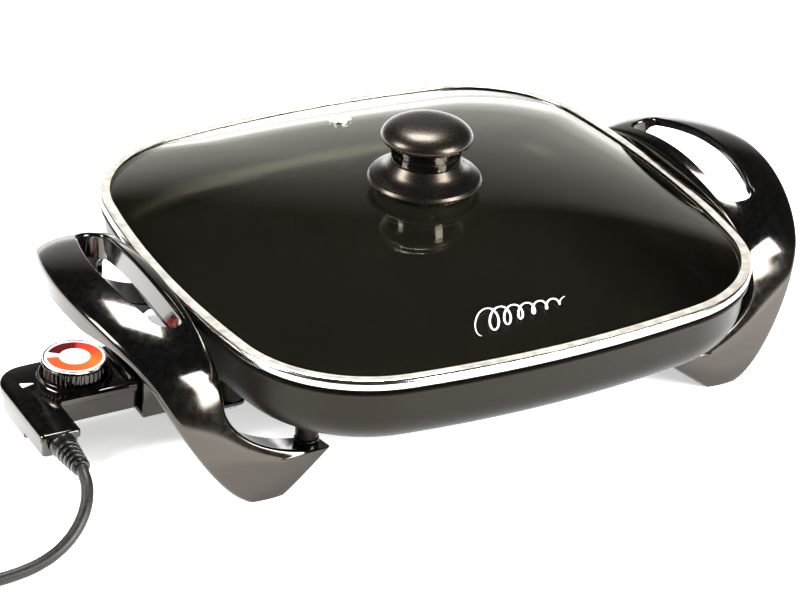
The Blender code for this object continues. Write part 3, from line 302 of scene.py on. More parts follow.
def make_dial_print():
    """Screen-printed aluminium disc under clear lacquer: a heat ring from dark red to orange on white."""
    made, tree, shader = finish("printed_dial", "#f3f1ee", 0.22, Coat_Weight=0.4, Coat_Roughness=0.08)
    coords = node(tree, "ShaderNodeTexCoord").outputs["Object"]
    centre = ((PAN_X - DIAL_X) * MM, 0.0, 0.0)
    centred = node(tree, "ShaderNodeVectorMath", {0: coords, 1: centre}, operation="SUBTRACT").outputs["Vector"]
    flat = node(tree, "ShaderNodeVectorMath", {0: centred, 1: (1.0, 1.0, 0.0)}, operation="MULTIPLY").outputs["Vector"]
    reach = node(tree, "ShaderNodeVectorMath", {0: flat}, operation="LENGTH").outputs["Value"]
    turn = node(tree, "ShaderNodeMapping", {"Vector": flat, "Rotation": (0.0, 0.0, math.radians(DIAL_GAP_TURN))})
    sweep = node(tree, "ShaderNodeTexGradient", {"Vector": turn.outputs["Vector"]}, gradient_type="RADIAL")
    sweep = sweep.outputs["Fac"]
    heat = ramp(tree, sweep, [(place, linear(colour)) for place, colour in HEAT_COLOURS])
    band, span = (
        maths(
            tree,
            "MULTIPLY",
            maths(tree, "GREATER_THAN", value, low),
            maths(tree, "LESS_THAN", value, high),
        )
        for value, low, high in ((reach, HEAT_RING[0] * MM, HEAT_RING[1] * MM), (sweep, *HEAT_SPAN))
    )
    inked = maths(tree, "MULTIPLY", band, span)
    mixed = node(tree, "ShaderNodeMix", {0: inked, 6: linear("#f4f2f0"), 7: heat}, data_type="RGBA").outputs[2]
    tree.links.new(mixed, shader.inputs["Base Color"])
    return made


COATED = make_coated_aluminium()
GLOSS = make_gloss_phenolic()
GLASS = make_tempered_glass()
DIAL_PRINT = make_dial_print()

# Name, colour, roughness, metallic, grain in mm with its dark and light colour, roughness from and to, relief in mm.
# The same phenolic from a blasted mould: black with a soft, broad shine and a fine tooth.
SATIN_SHINE = {"IOR": 1.5, "Specular_Tint": linear("#ffe9d0")}
SATIN = grained(
    "satin_phenolic", "#080706", 0.25, 0.0, 0.8, "#060505", "#0a0908", (0.24, 0.32), (0.003, 0.3), 2.0, **SATIN_SHINE
)
# Bright-annealed stainless strip, mirror bright with faint draw lines along it.
DRAWN = {"detail": 2.0, "stretch": (0.15, 0.15, 2.0)}
STEEL = grained("stainless_steel", "#e4e2de", 0.14, 1.0, 1.0, "#d6d3ce", "#f0eeea", (0.1, 0.22), (0.01, 0.3), **DRAWN)
# Bright nickel-plated steel of screws and pins: cool grey, softly polished.
PLATED = grained("plated_steel", "#b9bbbd", 0.26, 1.0, 0.6, "#a9abae", "#c6c8ca", (0.2, 0.36))
# Moulded silicone rubber: matt charcoal with a powdery grain.
SILICONE = grained("silicone_rubber", "#2a2a2a", 0.7, 0.0, 0.8, "#242424", "#323232", None, (0.02,))
# Pressed and fired steatite: off-white, dry, with fine pores.
STEATITE = grained("steatite_ceramic", "#e5dfd0", 0.5, 0.0, 0.9, "#d9d2c1", "#ece7da", None, (0.02,))
# Stamped and tumbled brass: yellow, half bright, with tumbling marks.
BRASS = grained("brass", "#c9a45a", 0.28, 1.0, 1.2, "#bb9549", "#d6b36c", (0.2, 0.38))
# Rolled bimetal strip: dull nickel grey with lengthwise roll lines.
BIMETAL = grained("bimetal", "#9c948a", 0.36, 1.0, 0.6, "#8d857b", "#aaa297", detail=2.0, stretch=(0.1, 2.0, 1.0))
# Oxidised steel sheath of the element: dark olive brown, blotchy from heat.
SHEATH = grained("element_sheath", "#3b362e", 0.5, 0.8, 7.0, "#2e2a24", "#4f483d", (0.4, 0.62))
# Extruded PVC jacket: black, half matt, with slight bloom and scuffs.
PVC = grained(
    "cord_pvc", "#131211", 0.42, 0.0, 2.2, "#0e0d0c", "#191715", (0.36, 0.5), (0.02, 0.4), Specular_IOR_Level=0.3
)
# PVC moulded over the lead's end: black, with the half gloss of a polished mould.
BOOT = grained("boot_pvc", "#080808", 0.26, 0.0, 1.6, "#060606", "#0b0b0a", (0.22, 0.32))
# Clear polycarbonate over a white light guide: milky white, glossy. Its emission is a painted glow in its own white
# that brightens the wedge; the signal lamp behind it is not lit.
LENS_PAINTED_GLOW = {"Emission_Color": linear("#fbfaf6"), "Emission_Strength": 0.25}
LENS = grained("signal_lens", "#f4f2ec", 0.16, 0.0, 1.0, "#ebe8df", "#fbfaf6", **LENS_PAINTED_GLOW)
# Fired ceramic ink on glass: flat opaque white.
INK = grained("ceramic_ink", "#f2f2ef", 0.5, 0.0, 0.5, "#e8e8e4", "#f6f6f4")


# ------------------------------------------------------------------ shaping
def scaled(point):
    return ((point[0] + PAN_X) * MM, point[1] * MM, point[2] * MM)


def placed(name, data):
    """A new object of this data, in the scene."""
    made = bpy.data.objects.new(name, data)
    bpy.context.scene.collection.objects.link(made)
    return made


def deselect():
    if bpy.context.mode != "OBJECT":
        bpy.ops.object.mode_set(mode="OBJECT")
    bpy.ops.object.select_all(action="DESELECT")


def pick(piece):
    deselect()
    piece.select_set(True)
    bpy.context.view_layer.objects.active = piece


def loft(name, rings, looped=False):
    """A skin through rings of equal count: a circle, extruded once for each further ring, then drawn to them.

    Its ends are filled, or when looped the last ring meets the first.
    """
    deselect()
    count = len(rings[0])
    bpy.ops.mesh.primitive_circle_add(vertices=count)
    piece = bpy.context.object
    piece.name = name
    piece.data.name = name
    bpy.ops.object.mode_set(mode="EDIT")
    if not looped:
        bpy.ops.mesh.edge_face_add()
        bpy.ops.mesh.select_mode(type="EDGE")
        bpy.ops.mesh.select_all(action="SELECT")
    stack = list(rings) + ([rings[0]] if looped else [])
    for _ in stack[1:]:
        if looped:
            bpy.ops.mesh.extrude_edges_move()
        else:
            bpy.ops.mesh.extrude_region_move()
    bpy.ops.object.mode_set(mode="OBJECT")
    grown_from = {}
    for edge in piece.data.edges:
        low, high = sorted(edge.vertices)
        if high // count == low // count + 1:
            grown_from[high] = low
    place = []
    for vertex in piece.data.vertices:
        ring = vertex.index // count
        place.append(place[grown_from[vertex.index]] if ring else vertex.index)
        vertex.co = scaled(stack[ring][place[-1]])
    tidy(piece)
    return piece


def tidy(piece, reach=1e-6):
    """Merges doubles and turns the faces outward."""
    pick(piece)
    bpy.ops.object.mode_set(mode="EDIT")
    bpy.ops.mesh.select_mode(type="VERT")
    bpy.ops.mesh.select_all(action="SELECT")
    bpy.ops.mesh.remove_doubles(threshold=reach)
    bpy.ops.mesh.dissolve_degenerate(threshold=reach)
    bpy.ops.mesh.normals_make_consistent(inside=False)
    bpy.ops.object.mode_set(mode="OBJECT")


def lathe(name, corners, centre=(0, 0, 0), axis="Z", steps=96, segments=5):
    """A turned piece from (radius, height, rounding) corners. A profile that stays off the axis closes on itself."""
    profile = rounded(corners, segments, closed=corners[0][0] > 0)
    rings = []
    for radius, height in profile:
        ring = []
        for k in range(steps):
            angle = math.tau * k / steps
            c, s = radius * math.cos(angle), radius * math.sin(angle)
            offset = {"Z": (c, s, height), "X": (height, c, s), "Y": (c, height, s)}[axis]
            ring.append(tuple(a + b for a, b in zip(centre, offset)))
        rings.append(ring)
    return loft(name, rings, looped=corners[0][0] > 0)


def bore(name, radius, start, end, centre, axis="Z", steps=32):
    """A plain cylinder, to cut a hole with."""
    return lathe(name, [(0, start, 0), (radius, start, 0), (radius, end, 0), (0, end, 0)], centre, axis, steps)


def rounded(corners, steps, closed=True):
    """A path through (x, y, radius) corners, each one replaced by an arc of its radius."""
    made = []
    count = len(corners)
    for i, (x, y, radius) in enumerate(corners):
        if radius == 0 or (not closed and i in (0, count - 1)):
            made.append((x, y))
            continue
        here = Vector((x, y))
        back = (Vector(corners[i - 1][:2]) - here).normalized()
        ahead = (Vector(corners[(i + 1) % count][:2]) - here).normalized()
        half = back.angle(ahead) / 2
        if half > math.radians(89.5):
            made.append((x, y))
            continue
        centre = here + (back + ahead).normalized() * (radius / math.sin(half))
        start = here + back * (radius / math.tan(half)) - centre
        turn = math.pi - 2 * half
        if back.x * ahead.y - back.y * ahead.x > 0:
            turn = -turn
        for k in range(steps + 1):
            point = centre + Matrix.Rotation(turn * k / steps, 2) @ start
            made.append((point.x, point.y))
    return made


def rounded_box(low, high, radius, steps):
    corners = ((low[0], low[1]), (high[0], low[1]), (high[0], high[1]), (low[0], high[1]))
    return rounded([(x, y, radius) for x, y in corners], steps)


# A quarter turn of radius 1 in seven steps: how far in from the side, and how far down from the top.
QUARTER = [(1 - math.cos(math.radians(15 * k)), 1 - math.sin(math.radians(15 * k))) for k in range(7)]


def arc(centre, radius, start, end, steps):
    angles = [math.radians(start + (end - start) * i / steps) for i in range(steps + 1)]
    return [(centre[0] + radius * math.cos(a), centre[1] + radius * math.sin(a)) for a in angles]


def level(points, z):
    return [(x, y, z) for x, y in points]


def direction(azimuth, elevation):
    """The way to a place seen at these angles. Azimuth 0 is in front and a quarter turn is on the right."""
    x, y = math.sin(azimuth), -math.cos(azimuth)
    return Vector((x * math.cos(elevation), y * math.cos(elevation), math.sin(elevation)))


def ease(share):
    share = min(max(share, 0.0), 1.0)
    return share * share * (3 - 2 * share)


def blend(low, high, share):
    return low + (high - low) * ease(share)


def complete(piece, material, body, *replaced, angle=40.0):
    """Shades a piece, gives it its material and sets it on its body, in place of the frame's nodes of these names."""
    pick(piece)
    bpy.ops.object.shade_smooth_by_angle(angle=math.radians(angle))
    piece.data.materials.clear()
    piece.data.materials.append(material)
    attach(piece, body)
    if replaced:
        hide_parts(*replaced)
    return piece


def cut(piece, shape):
    """Takes a shape away from a piece, by an exact Boolean."""
    pick(piece)
    made = piece.modifiers.new("cut", "BOOLEAN")
    made.operation = "DIFFERENCE"
    made.object = shape
    made.solver = "EXACT"
    bpy.ops.object.modifier_apply(modifier=made.name)
    bpy.data.objects.remove(shape)


def join(pieces):
    pick(pieces[0])
    for piece in pieces[1:]:
        piece.select_set(True)
    bpy.ops.object.join()
    return pieces[0]


# ------------------------------------------------------------------ camera and lead
CAMERA_TURNS = (-30.1, 29.5, 3.2)  # azimuth, elevation and roll
CAMERA_PLACE = (-0.70675, -1.2259, 0.8373)


def place_camera():
    azimuth, elevation, roll = (math.radians(a) for a in CAMERA_TURNS)
    back = direction(azimuth, elevation)
    right = Vector((math.cos(azimuth), math.sin(azimuth), 0.0))
    up = back.cross(right)
    rolled_right = right * math.cos(roll) + up * math.sin(roll)
    rolled_up = up * math.cos(roll) - right * math.sin(roll)
    camera = placed("camera", bpy.data.cameras.new("camera"))
    turn = Matrix((rolled_right, rolled_up, back)).transposed().to_4x4()
    camera.matrix_world = Matrix.Translation(CAMERA_PLACE) @ turn
    camera.data.lens = 135.1
    camera.data.clip_start = 0.05
    camera.data.clip_end = 60.0
    bpy.context.scene.camera = camera


def smooth_route(points, steps):
    """A Catmull-Rom curve through the points."""
    padded = [points[0], *points, points[-1]]
    made = []
    for a, b, c, d in zip(padded, padded[1:], padded[2:], padded[3:]):
        for k in range(steps):
            t = k / steps
            made.append(
                tuple(
                    0.5 * (2 * q + (r - p) * t + (2 * p - 5 * q + 4 * r - s) * t * t + (3 * q - p - 3 * r + s) * t**3)
                    for p, q, r, s in zip(a, b, c, d)
                )
            )
    made.append(points[-1])
    return made


def coil_turns():
    """The wound part of the lead: an outer turn, an inner turn beside it, and a last quarter on top of both."""
    points = []
    for degrees in range(90, 901, 10):
        radius = COIL_OUTER_TURN
        radius += blend(0.0, COIL_INNER_TURN - COIL_OUTER_TURN, (degrees - 375) / 65)
        radius += blend(0.0, TAIL_RADIUS - COIL_INNER_TURN, (degrees - 810) / 80)
        z = blend(3.3, 9.75, (degrees - 700) / 65)
        angle = math.radians(-degrees)
        points.append((COIL_CENTRE[0] + radius * math.cos(angle), COIL_CENTRE[1] + radius * math.sin(angle), z))
    return points


def lead_path():
    tail = []
    for y in (-68.0, -61.0, -54.0):
        tail.append((TAIL_X, y, 9.7))
    for k in range(6):
        y = TAIL_START_Y + TAIL_LENGTH * k / 5
        tail.append((TAIL_X, y, blend(9.5, PLUG_Z, k / 5)))
    bend = [(-326.0, -112.1, 3.3), (-335.5, -113.5, 3.3)]
    return list(CORD_ROUTE) + bend + coil_turns() + tail


def make_lead():
    path = smooth_route(lead_path(), 3)
    data = bpy.data.curves.new("mains_lead", "CURVE")
    data.dimensions = "3D"
    data.bevel_depth = CORD_DIAMETER / 2 * MM
    data.bevel_resolution = 4
    data.use_fill_caps = True
    spline = data.splines.new("POLY")
    spline.points.add(len(path) - 1)
    for slot, point in zip(spline.points, path):
        slot.co = (*scaled(point), 1.0)
    lead = placed("mains_lead", data)
    data.materials.append(PVC)
    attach(lead, "control_probe")
    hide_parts("cord_run", "cord_coil", "cord_tail")
    plug = make_plug()
    tie = make_tie()


def make_plug():
    """A moulded two-blade plug: a ribbed boot that swells into a flat-sided body."""
    boot_y = TAIL_START_Y + TAIL_LENGTH + GAP - 0.1
    body_y = boot_y + 13.0
    stations = [(boot_y, 4.3, 4.3), (boot_y + 0.6, 4.7, 4.7)]
    for k in range(3):
        start = boot_y + 1.6 + 3.4 * k
        grown = 4.8 + 0.45 * k
        stations += [(start, grown, grown), (start + 0.3, grown - 0.9, grown - 0.9)]
        stations += [(start + 1.3, grown - 0.8, grown - 0.8), (start + 1.6, grown + 0.2, grown + 0.2)]
    stations += [
        (body_y - 1.0, 6.2, 5.8), (body_y + 1.0, 7.6, 6.5), (body_y + 3.0, 9.4, 7.4), (body_y + 5.5, 10.6, 8.1),
        (body_y + 8.0, 11.0, 8.4), (body_y + 24.5, 11.0, 8.4), (body_y + 26.2, 10.7, 8.2), (body_y + 26.9, 10.0, 7.5),
    ]
    rings = []
    for y, half_x, half_z in stations:
        ring = []
        for k in range(48):
            angle = math.tau * k / 48
            c, s = math.cos(angle), math.sin(angle)
            x = math.copysign(abs(c) ** 0.6, c) * half_x
            z = math.copysign(abs(s) ** 0.6, s) * half_z
            ring.append((TAIL_X + x, y, PLUG_Z + z))
        rings.append(ring)
    plug = loft("plug_moulding", rings)
    return complete(plug, PVC, "control_probe", "plug_body", angle=32)


def make_tie():
    """A flat PVC-coated wire tie round the coil's turns, at the side nearest the skillet."""
    low, high = COIL_INNER_TURN - 3.5, COIL_OUTER_TURN + 3.5
    rings = []
    for side in (-3.0, -2.7, 2.7, 3.0):
        swell = 0.0 if abs(side) < 3 else -0.25
        outline = rounded_box((low - swell, 0.1 - swell), (high + swell, 7.1 + swell), 2.8, 5)
        rings.append([(COIL_CENTRE[0] + x, COIL_CENTRE[1] + side, z) for x, z in outline])
    tie = loft("lead_tie", rings)
    return complete(tie, PVC, "control_probe", angle=32)


place_camera()
make_lead()


# ------------------------------------------------------------------ pan
def skillet_outline(inset):
    """The bowed square from above: four side arcs and four corner arcs."""
    bow = SIDE_BOW_RADIUS - LID_HALF_X
    reach = SIDE_BOW_RADIUS - CORNER_RADIUS
    corner = (math.sqrt(2 * reach**2 - bow**2) - bow) / 2
    turn = math.degrees(math.atan2(corner, corner + bow))
    quarter = arc((-bow, 0), SIDE_BOW_RADIUS - inset, -turn, turn, SIDE_STEPS)[:-1]
    quarter += arc((corner, corner), CORNER_RADIUS - inset, turn, 90 - turn, CORNER_STEPS)[:-1]
    outline = []
    for side in range(4):
        spin = Matrix.Rotation(side * math.pi / 2, 2)
        outline += [tuple(spin @ Vector(point)) for point in quarter]
    squeeze = LID_HALF_Y / LID_HALF_X
    return [(x, y * squeeze) for x, y in outline]


def skillet_rings(profile):
    return [level(skillet_outline(inset), z) for inset, z in profile]


def make_pan():
    outer = arc((OUTER_FILLET, OUTER_FILLET), OUTER_FILLET, 270, 180, 14)
    foot = WALL_INSET + WALL_TAPER
    profile = [(foot + 60.0, UNDERSIDE_Z), (foot + OUTER_FILLET + 6, UNDERSIDE_Z)]
    profile += [(foot + x, UNDERSIDE_Z + z) for x, z in outer]
    profile += [(WALL_INSET + 0.15, FLANGE_Z - 1.2), (WALL_INSET, FLANGE_Z - 0.3), (WALL_INSET - 0.3, FLANGE_Z)]
    profile += [
        (1.2, FLANGE_Z + 0.05), (0.95, FLANGE_Z + 0.15), (0.8, FLANGE_Z + 0.45), (0.8, FLANGE_Z + FLANGE_THICK - 0.4),
        (0.95, FLANGE_Z + FLANGE_THICK - 0.1), (1.3, FLANGE_Z + FLANGE_THICK),
        (LIP_INSET - 0.3, FLANGE_Z + FLANGE_THICK + 0.1), (LIP_INSET, FLANGE_Z + FLANGE_THICK + 0.4),
        (LIP_INSET, PAN_TOP_Z - 0.3), (LIP_INSET + 0.3, PAN_TOP_Z),
    ]
    inside = LIP_INSET + PAN_WALL
    floor_z = UNDERSIDE_Z + PAN_FLOOR
    profile += [(inside - 0.6, PAN_TOP_Z), (inside - 0.15, PAN_TOP_Z - 0.2), (inside, PAN_TOP_Z - 0.7)]
    inner = arc((INNER_FILLET, INNER_FILLET), INNER_FILLET, 180, 270, 12)
    profile += [(inside + WALL_TAPER + x, floor_z + z) for x, z in inner]
    profile += [(inside + INNER_FILLET + 8, floor_z), (inside + 60.0, floor_z)]
    pan = loft("pan_body", skillet_rings(profile))
    complete(pan, COATED, "skillet", "skillet_pan")

    near = element_half(1)
    loop = near + element_half(-1)[-2::-1]
    section = rounded([(-5.5, RIB_FOOT_Z, 2.0), (5.5, RIB_FOOT_Z, 2.0), (6.5, RIB_TOP_Z, 0), (-6.5, RIB_TOP_Z, 0)], 4)
    rib = loft("pan_element_rib", swept(loop, section))
    complete(rib, COATED, "skillet")
    guide = rounded([(-6.4, 20.6, 2.0), (6.4, 20.6, 2.0), (6.4, RIB_TOP_Z, 0), (-6.4, RIB_TOP_Z, 0)], 4)
    block = loft("pan_sensor_guide", [[(x, y, z) for y, z in guide] for x in (-112.0, -111.5, -70.5, -70.0)])
    cut(block, bore("guide_bore", SENSOR_BORE, -120, -73, (0, 0, PROBE_Z), "X", 40))
    complete(block, COATED, "skillet")
    for label, x, y, low in boss_places():
        corners = [(SCREW_BORE, low, 0.4), (BOSS_RADIUS, low, 0.6)]
        corners += [(BOSS_RADIUS, RIB_TOP_Z, 0), (SCREW_BORE, RIB_TOP_Z, 0)]
        boss = lathe(f"pan_boss_{label}", corners, (x, y, 0), steps=40)
        complete(boss, COATED, "skillet")


def boss_places():
    x, y = LEG_SCREW
    low = LEG_PAD_Z[1] + GAP
    places = [("right_front", x, -y, low), ("right_back", x, y, low)]
    places += [("left_front", -x, -y, low), ("left_back", -x, y, low)]
    x, y = SHROUD_SCREW
    return places + [("shroud_front", -x, -y, 17.7), ("shroud_back", -x, y, 17.7)]


def element_half(side):
    lead_y = PIN_SPACING / 2
    corners = [
        (-RIB_END, lead_y, 0), (-ELEMENT_HALF, lead_y, 9.0), (-ELEMENT_HALF, ELEMENT_HALF, ELEMENT_BEND),
        (ELEMENT_HALF, ELEMENT_HALF, ELEMENT_BEND), (ELEMENT_HALF, 0.0, 0),
    ]
    return [(x, side * y) for x, y in rounded(corners, 12, closed=False)]


def swept(path, section):
    """Rings of a (sideways, z) section along a level path."""
    rings = []
    for i, point in enumerate(path):
        ahead = Vector(path[min(i + 1, len(path) - 1)])
        behind = Vector(path[max(i - 1, 0)])
        along = (ahead - behind).normalized()
        rings.append([(point[0] - along.y * s, point[1] + along.x * s, z) for s, z in section])
    return rings


# ------------------------------------------------------------------ lid
def dome_z(share):
    return GLASS_EDGE_Z + GLASS_THICK + DOME_HEIGHT * (1 - share**DOME_POWER)


def glass_ring(share, z):
    ring = []
    round_reach = (LID_HALF_X + LID_HALF_Y) / 2
    for x, y in skillet_outline(BAND_WIDTH):
        scale = share * (share + (1 - share) * round_reach / math.hypot(x, y))
        ring.append((x * scale, y * scale, z))
    return ring


def make_lid():
    shares = [1.0, 0.985] + [1 - 0.03 * k for k in range(1, 32)] + [0.045, 0.026]
    upper = [glass_ring(share, dome_z(share)) for share in shares]
    lower = [glass_ring(share, dome_z(share) - GLASS_THICK) for share in reversed(shares)]
    border = skillet_outline(GLASS_INSET)
    edge = [level(border, GLASS_EDGE_Z), level(border, GLASS_EDGE_Z + GLASS_THICK)]
    glass = loft("lid_glass_dome", edge + upper + lower, looped=True)
    complete(glass, GLASS, "lid", "lid_glass", angle=50)

    wall = BAND_WALL
    inner = GLASS_INSET - GAP
    corners = [
        (BAND_WIDTH, BAND_Z, 0.2), (0.0, BAND_Z, 2.0), (0.0, BAND_TOP_Z, 2.4), (BAND_WIDTH, BAND_TOP_Z, 0.3),
        (BAND_WIDTH, BAND_TOP_Z - wall, 0.2), (inner, BAND_TOP_Z - wall, 0), (inner, BAND_Z + wall, 0),
        (BAND_WIDTH, BAND_Z + wall, 0.2),
    ]
    band = loft("lid_steel_band", skillet_rings(rounded(corners, 6)), looped=True)
    complete(band, STEEL, "lid", "lid_rim_band", angle=50)
    make_vent()
    make_knob()
    make_ornament(glass)


def make_vent():
    """A pressed steel eyelet, square to the glass at the vent."""
    reach = max(y for x, y, z in glass_ring(VENT_SHARE, 0.0))
    slope = -DOME_HEIGHT * DOME_POWER * VENT_SHARE ** (DOME_POWER - 1) / (reach / VENT_SHARE)
    corners = [
        (1.4, -4.9, 0.2), (6.4, -4.9, 0.3), (6.4, -4.0, 0.3), (3.9, -3.9, 0), (3.9, 0.2, 0), (6.4, 0.2, 0.2),
        (6.2, 1.0, 0.5), (2.2, 1.5, 0.4), (1.4, 1.0, 0.2),
    ]
    eyelet = lathe("vent_eyelet", corners, steps=48)
    tilt = Matrix.Translation(Vector((VENT_X, reach, dome_z(VENT_SHARE))) * MM)
    tilt = tilt @ Matrix.Rotation(math.atan(slope), 4, "X")
    shift = Matrix.Translation((PAN_X * MM, 0, 0))
    eyelet.data.transform(shift @ tilt @ shift.inverted())
    complete(eyelet, STEEL, "lid", "vent_grommet")


def make_knob():
    """Three moulded pieces: a sloped base, a waisted neck and a domed cap."""
    foot = KNOB_Z
    base = [
        (2.6, foot, 0), (25.5, foot, 0.5), (26.5, foot + 3.4, 0.8), (30.2, foot + 4.2, 0.6), (30.8, foot + 5.2, 0.6),
        (29.6, foot + 6.9, 1.6), (22.6, foot + 10.4, 12.0), (18.6, foot + 16.0, 0.3), (2.6, foot + 16.0, 0),
    ]
    piece = lathe("knob_base", base, steps=128, segments=9)
    complete(piece, SATIN, "lid", "knob_skirt")
    neck_z = foot + 16.0 + GAP
    cap_z = foot + 26.7
    neck = [
        (0.0, neck_z, 0), (18.4, neck_z, 0.3), (18.7, neck_z + 4.0, 9.0), (20.3, cap_z, 0.2), (0.0, cap_z, 0),
    ]
    piece = lathe("knob_neck", neck, steps=128, segments=9)
    complete(piece, GLOSS, "lid", "knob_grip")
    low = cap_z + GAP
    cap = [(0.0, low), (20.6, low), (21.2, low + 0.1), (23.2, low + 0.6), (24.0, low + 1.1), (24.4, low + 1.8)]
    for k in range(25):
        angle = math.radians(90 * k / 24)
        cap.append((24.6 * math.cos(angle) ** 0.72, low + 2.6 + 8.4 * math.sin(angle) ** 1.1))
    cap[-1] = (0.0, low + 11.0)
    piece = lathe("knob_top", [(radius, z, 0) for radius, z in cap], steps=128)
    complete(piece, SATIN, "lid", "knob_cap")


def make_ornament(glass):
    """A pen flourish in white ink on the glass: a run of leaning loops that dwindle, drawn as a flat ribbon."""
    bpy.context.view_layer.update()
    line = []
    steps = 260
    for k in range(steps + 1):
        share = k / steps
        turn = math.tau * ORNAMENT_LOOPS * share
        tall = 6.2 * (1 - share) ** 1.3 + 2.0
        x = ORNAMENT_START[0] + ORNAMENT_LENGTH * share - 0.62 * tall * math.sin(turn)
        y = ORNAMENT_START[1] + 1.6 * share - tall * math.cos(turn)
        line.append((x + 0.45 * (y - ORNAMENT_START[1]), y))
    rings = []
    for i, (x, y) in enumerate(line):
        ahead = Vector(line[min(i + 1, steps)]) - Vector(line[max(i - 1, 0)])
        side = Vector((-ahead.y, ahead.x)).normalized()
        ends = min(1.0, 0.25 + 8 * min(i, steps - i) / steps)
        half = ends * (0.28 + 0.22 * abs(side.x))
        ring = []
        for offset, lift in ((-half, 0.01), (half, 0.01), (half, 0.09), (-half, 0.09)):
            at = Vector((x, y)) + side * offset
            _, place, _, _ = glass.ray_cast(Vector(scaled((at.x, at.y, 200.0))), Vector((0, 0, -1)))
            ring.append((at.x, at.y, place.z / MM + lift))
        rings.append(ring)
    flourish = loft("lid_flourish", rings)
    complete(flourish, INK, "lid", angle=60)


# ------------------------------------------------------------------ handles
def wing_edge():
    top = Vector((WING_REACH, 0, WING_TOP_Z))
    shoulder = Vector(SHOULDER)
    foot = Vector((FOOT_OUTER, FOOT_Y, 0))
    lean = Vector((-7.0, 11.2, -17.8))
    first = interpolate_bezier(top, top + Vector((0, 36, 0)), shoulder - lean * 0.78, shoulder, 241)
    second = interpolate_bezier(shoulder, shoulder + lean, foot + Vector((16, 1, 7)), foot, 241)
    return first, second


def at_height(edge, z):
    for high, low in zip(edge, edge[1:]):
        if low.z <= z <= high.z:
            return high.lerp(low, (high.z - z) / max(high.z - low.z, 1e-9))
    return edge[-1].copy()


def wing_inner(z):
    tip_x, tip_z = TUCK_TIP
    if z >= TUCK_START_Z:
        return WING_INNER
    if z >= tip_z:
        fall = (TUCK_START_Z - z) / (TUCK_START_Z - tip_z)
        return tip_x + (WING_INNER - tip_x) * max(0.0, 1 - fall**1.85) ** (1 / 1.85)
    return FOOT_INNER + (tip_x - FOOT_INNER) * z / tip_z


def wing_rows():
    first, second = wing_edge()
    edges = [first[i] for i in list(range(0, 241, 5))]
    edges += [at_height(second, SHOULDER[2] - (SHOULDER[2] - TUCK_START_Z) * k / 8) for k in range(1, 8)]
    tip_z = TUCK_TIP[1]
    for k in range(33):
        swing = math.sin(math.radians(90 * k / 32))
        edges.append(at_height(second, TUCK_START_Z - (TUCK_START_Z - tip_z) * swing**1.1))
    edges += [at_height(second, tip_z * (1 - k / 12)) for k in range(1, 13)]
    return [(edge, wing_inner(edge.z)) for edge in edges]


def wing_section(rows, i):
    """One section of a handle: a crowned skin between two rounded edges, a web inside and a lip outside."""
    edge, inner = rows[i]
    before, after = rows[max(i - 1, 0)], rows[min(i + 1, len(rows) - 1)]
    run = max((after[0] - before[0]).yz.length, 1e-6)
    along = (after[0] - before[0]).yz.normalized() if i else Vector((1.0, 0.0))
    inward = Vector((0.0, along.y, -along.x))
    slope = (after[1] - before[1]) / run
    width = edge.x - inner
    leg = 1.0 - blend(0.0, 1.0, (min(edge.z / WING_TOP_Z, 1.0) - 0.6) / 0.35)
    crown = blend(GRIP_CROWN, LEG_CROWN, leg)
    lip = blend(GRIP_LIP, LEG_LIP, (edge.y - 22.0) / 40.0)
    tip_z = TUCK_TIP[1]
    web = blend(blend(GRIP_WEB, LEG_WEB, leg), FOOT_WEB, (tip_z - edge.z) / WING_WALL)
    web_wide = min(WING_WALL * math.sqrt(1 + slope * slope), 0.75 * width)
    if edge.z < tip_z:
        web_wide = min(web_wide, 2 * WING_WALL)
    turn = WING_EDGE_ROUND

    def swell(share):
        return -crown * max(4 * share * (1 - share), 0.0) ** 0.8

    skin = []
    for across, down in QUARTER:
        share = turn * across / width
        skin.append((share, turn * down + swell(share)))
    edge_share = turn / width
    for k in range(1, WING_COLUMNS):
        share = edge_share + (1 - 2 * edge_share) * k / WING_COLUMNS
        skin.append((share, swell(share)))
    for across, down in reversed(QUARTER):
        share = 1 - turn * across / width
        skin.append((share, turn * down + swell(share)))
    wall = WING_WALL / width
    skin += [(1.0, lip - 0.5), (1 - 0.15 * wall, lip), (1 - 0.85 * wall, lip), (1 - wall, lip - 0.5)]
    low = web_wide / width
    for k in range(WING_COLUMNS + 1):
        share = low + (1 - wall - low) * (1 - k / WING_COLUMNS)
        skin.append((share, WING_WALL + swell(share)))
    skin += [(low, web - 0.5), (low * 0.85, web), (low * 0.15, web), (0.0, web - 0.5)]
    return [Vector((inner + width * share, edge.y, edge.z)) + inward * depth for share, depth in skin]


def wing_rings(side):
    rows = wing_rows()
    half = [wing_section(rows, i) for i in range(len(rows))]
    for point in half[-1]:
        point.z = 0.0
    front = [[Vector((p.x, -p.y, p.z)) for p in ring] for ring in half[:0:-1]]
    return [[(side * p.x, p.y, p.z) for p in ring] for ring in front + half]


def slot_outline(grow):
    """The finger slot from above, grown outward: two long arcs and two round ends."""
    end = SLOT_HALF_LENGTH - 8.0
    ys = [end * (k / 24 * 2 - 1) for k in range(25)]
    outer = [(SLOT_OUTER + grow - y * y / (2 * SLOT_OUTER_RADIUS), y) for y in ys]
    inner = [(SLOT_INNER - grow - y * y / (2 * SLOT_INNER_RADIUS), y) for y in reversed(ys)]

    def cap(start, finish_point, sign):
        middle = (start[0] + finish_point[0]) / 2
        half = abs(start[0] - finish_point[0]) / 2
        made = []
        for k in range(1, 16):
            angle = math.pi * k / 16
            across = sign * half * math.cos(angle)
            made.append((middle + across, start[1] + sign * (8.0 + grow) * math.sin(angle) ** 0.8))
        return made

    return outer + cap(outer[-1], inner[0], 1) + inner + cap(inner[-1], outer[0], -1)


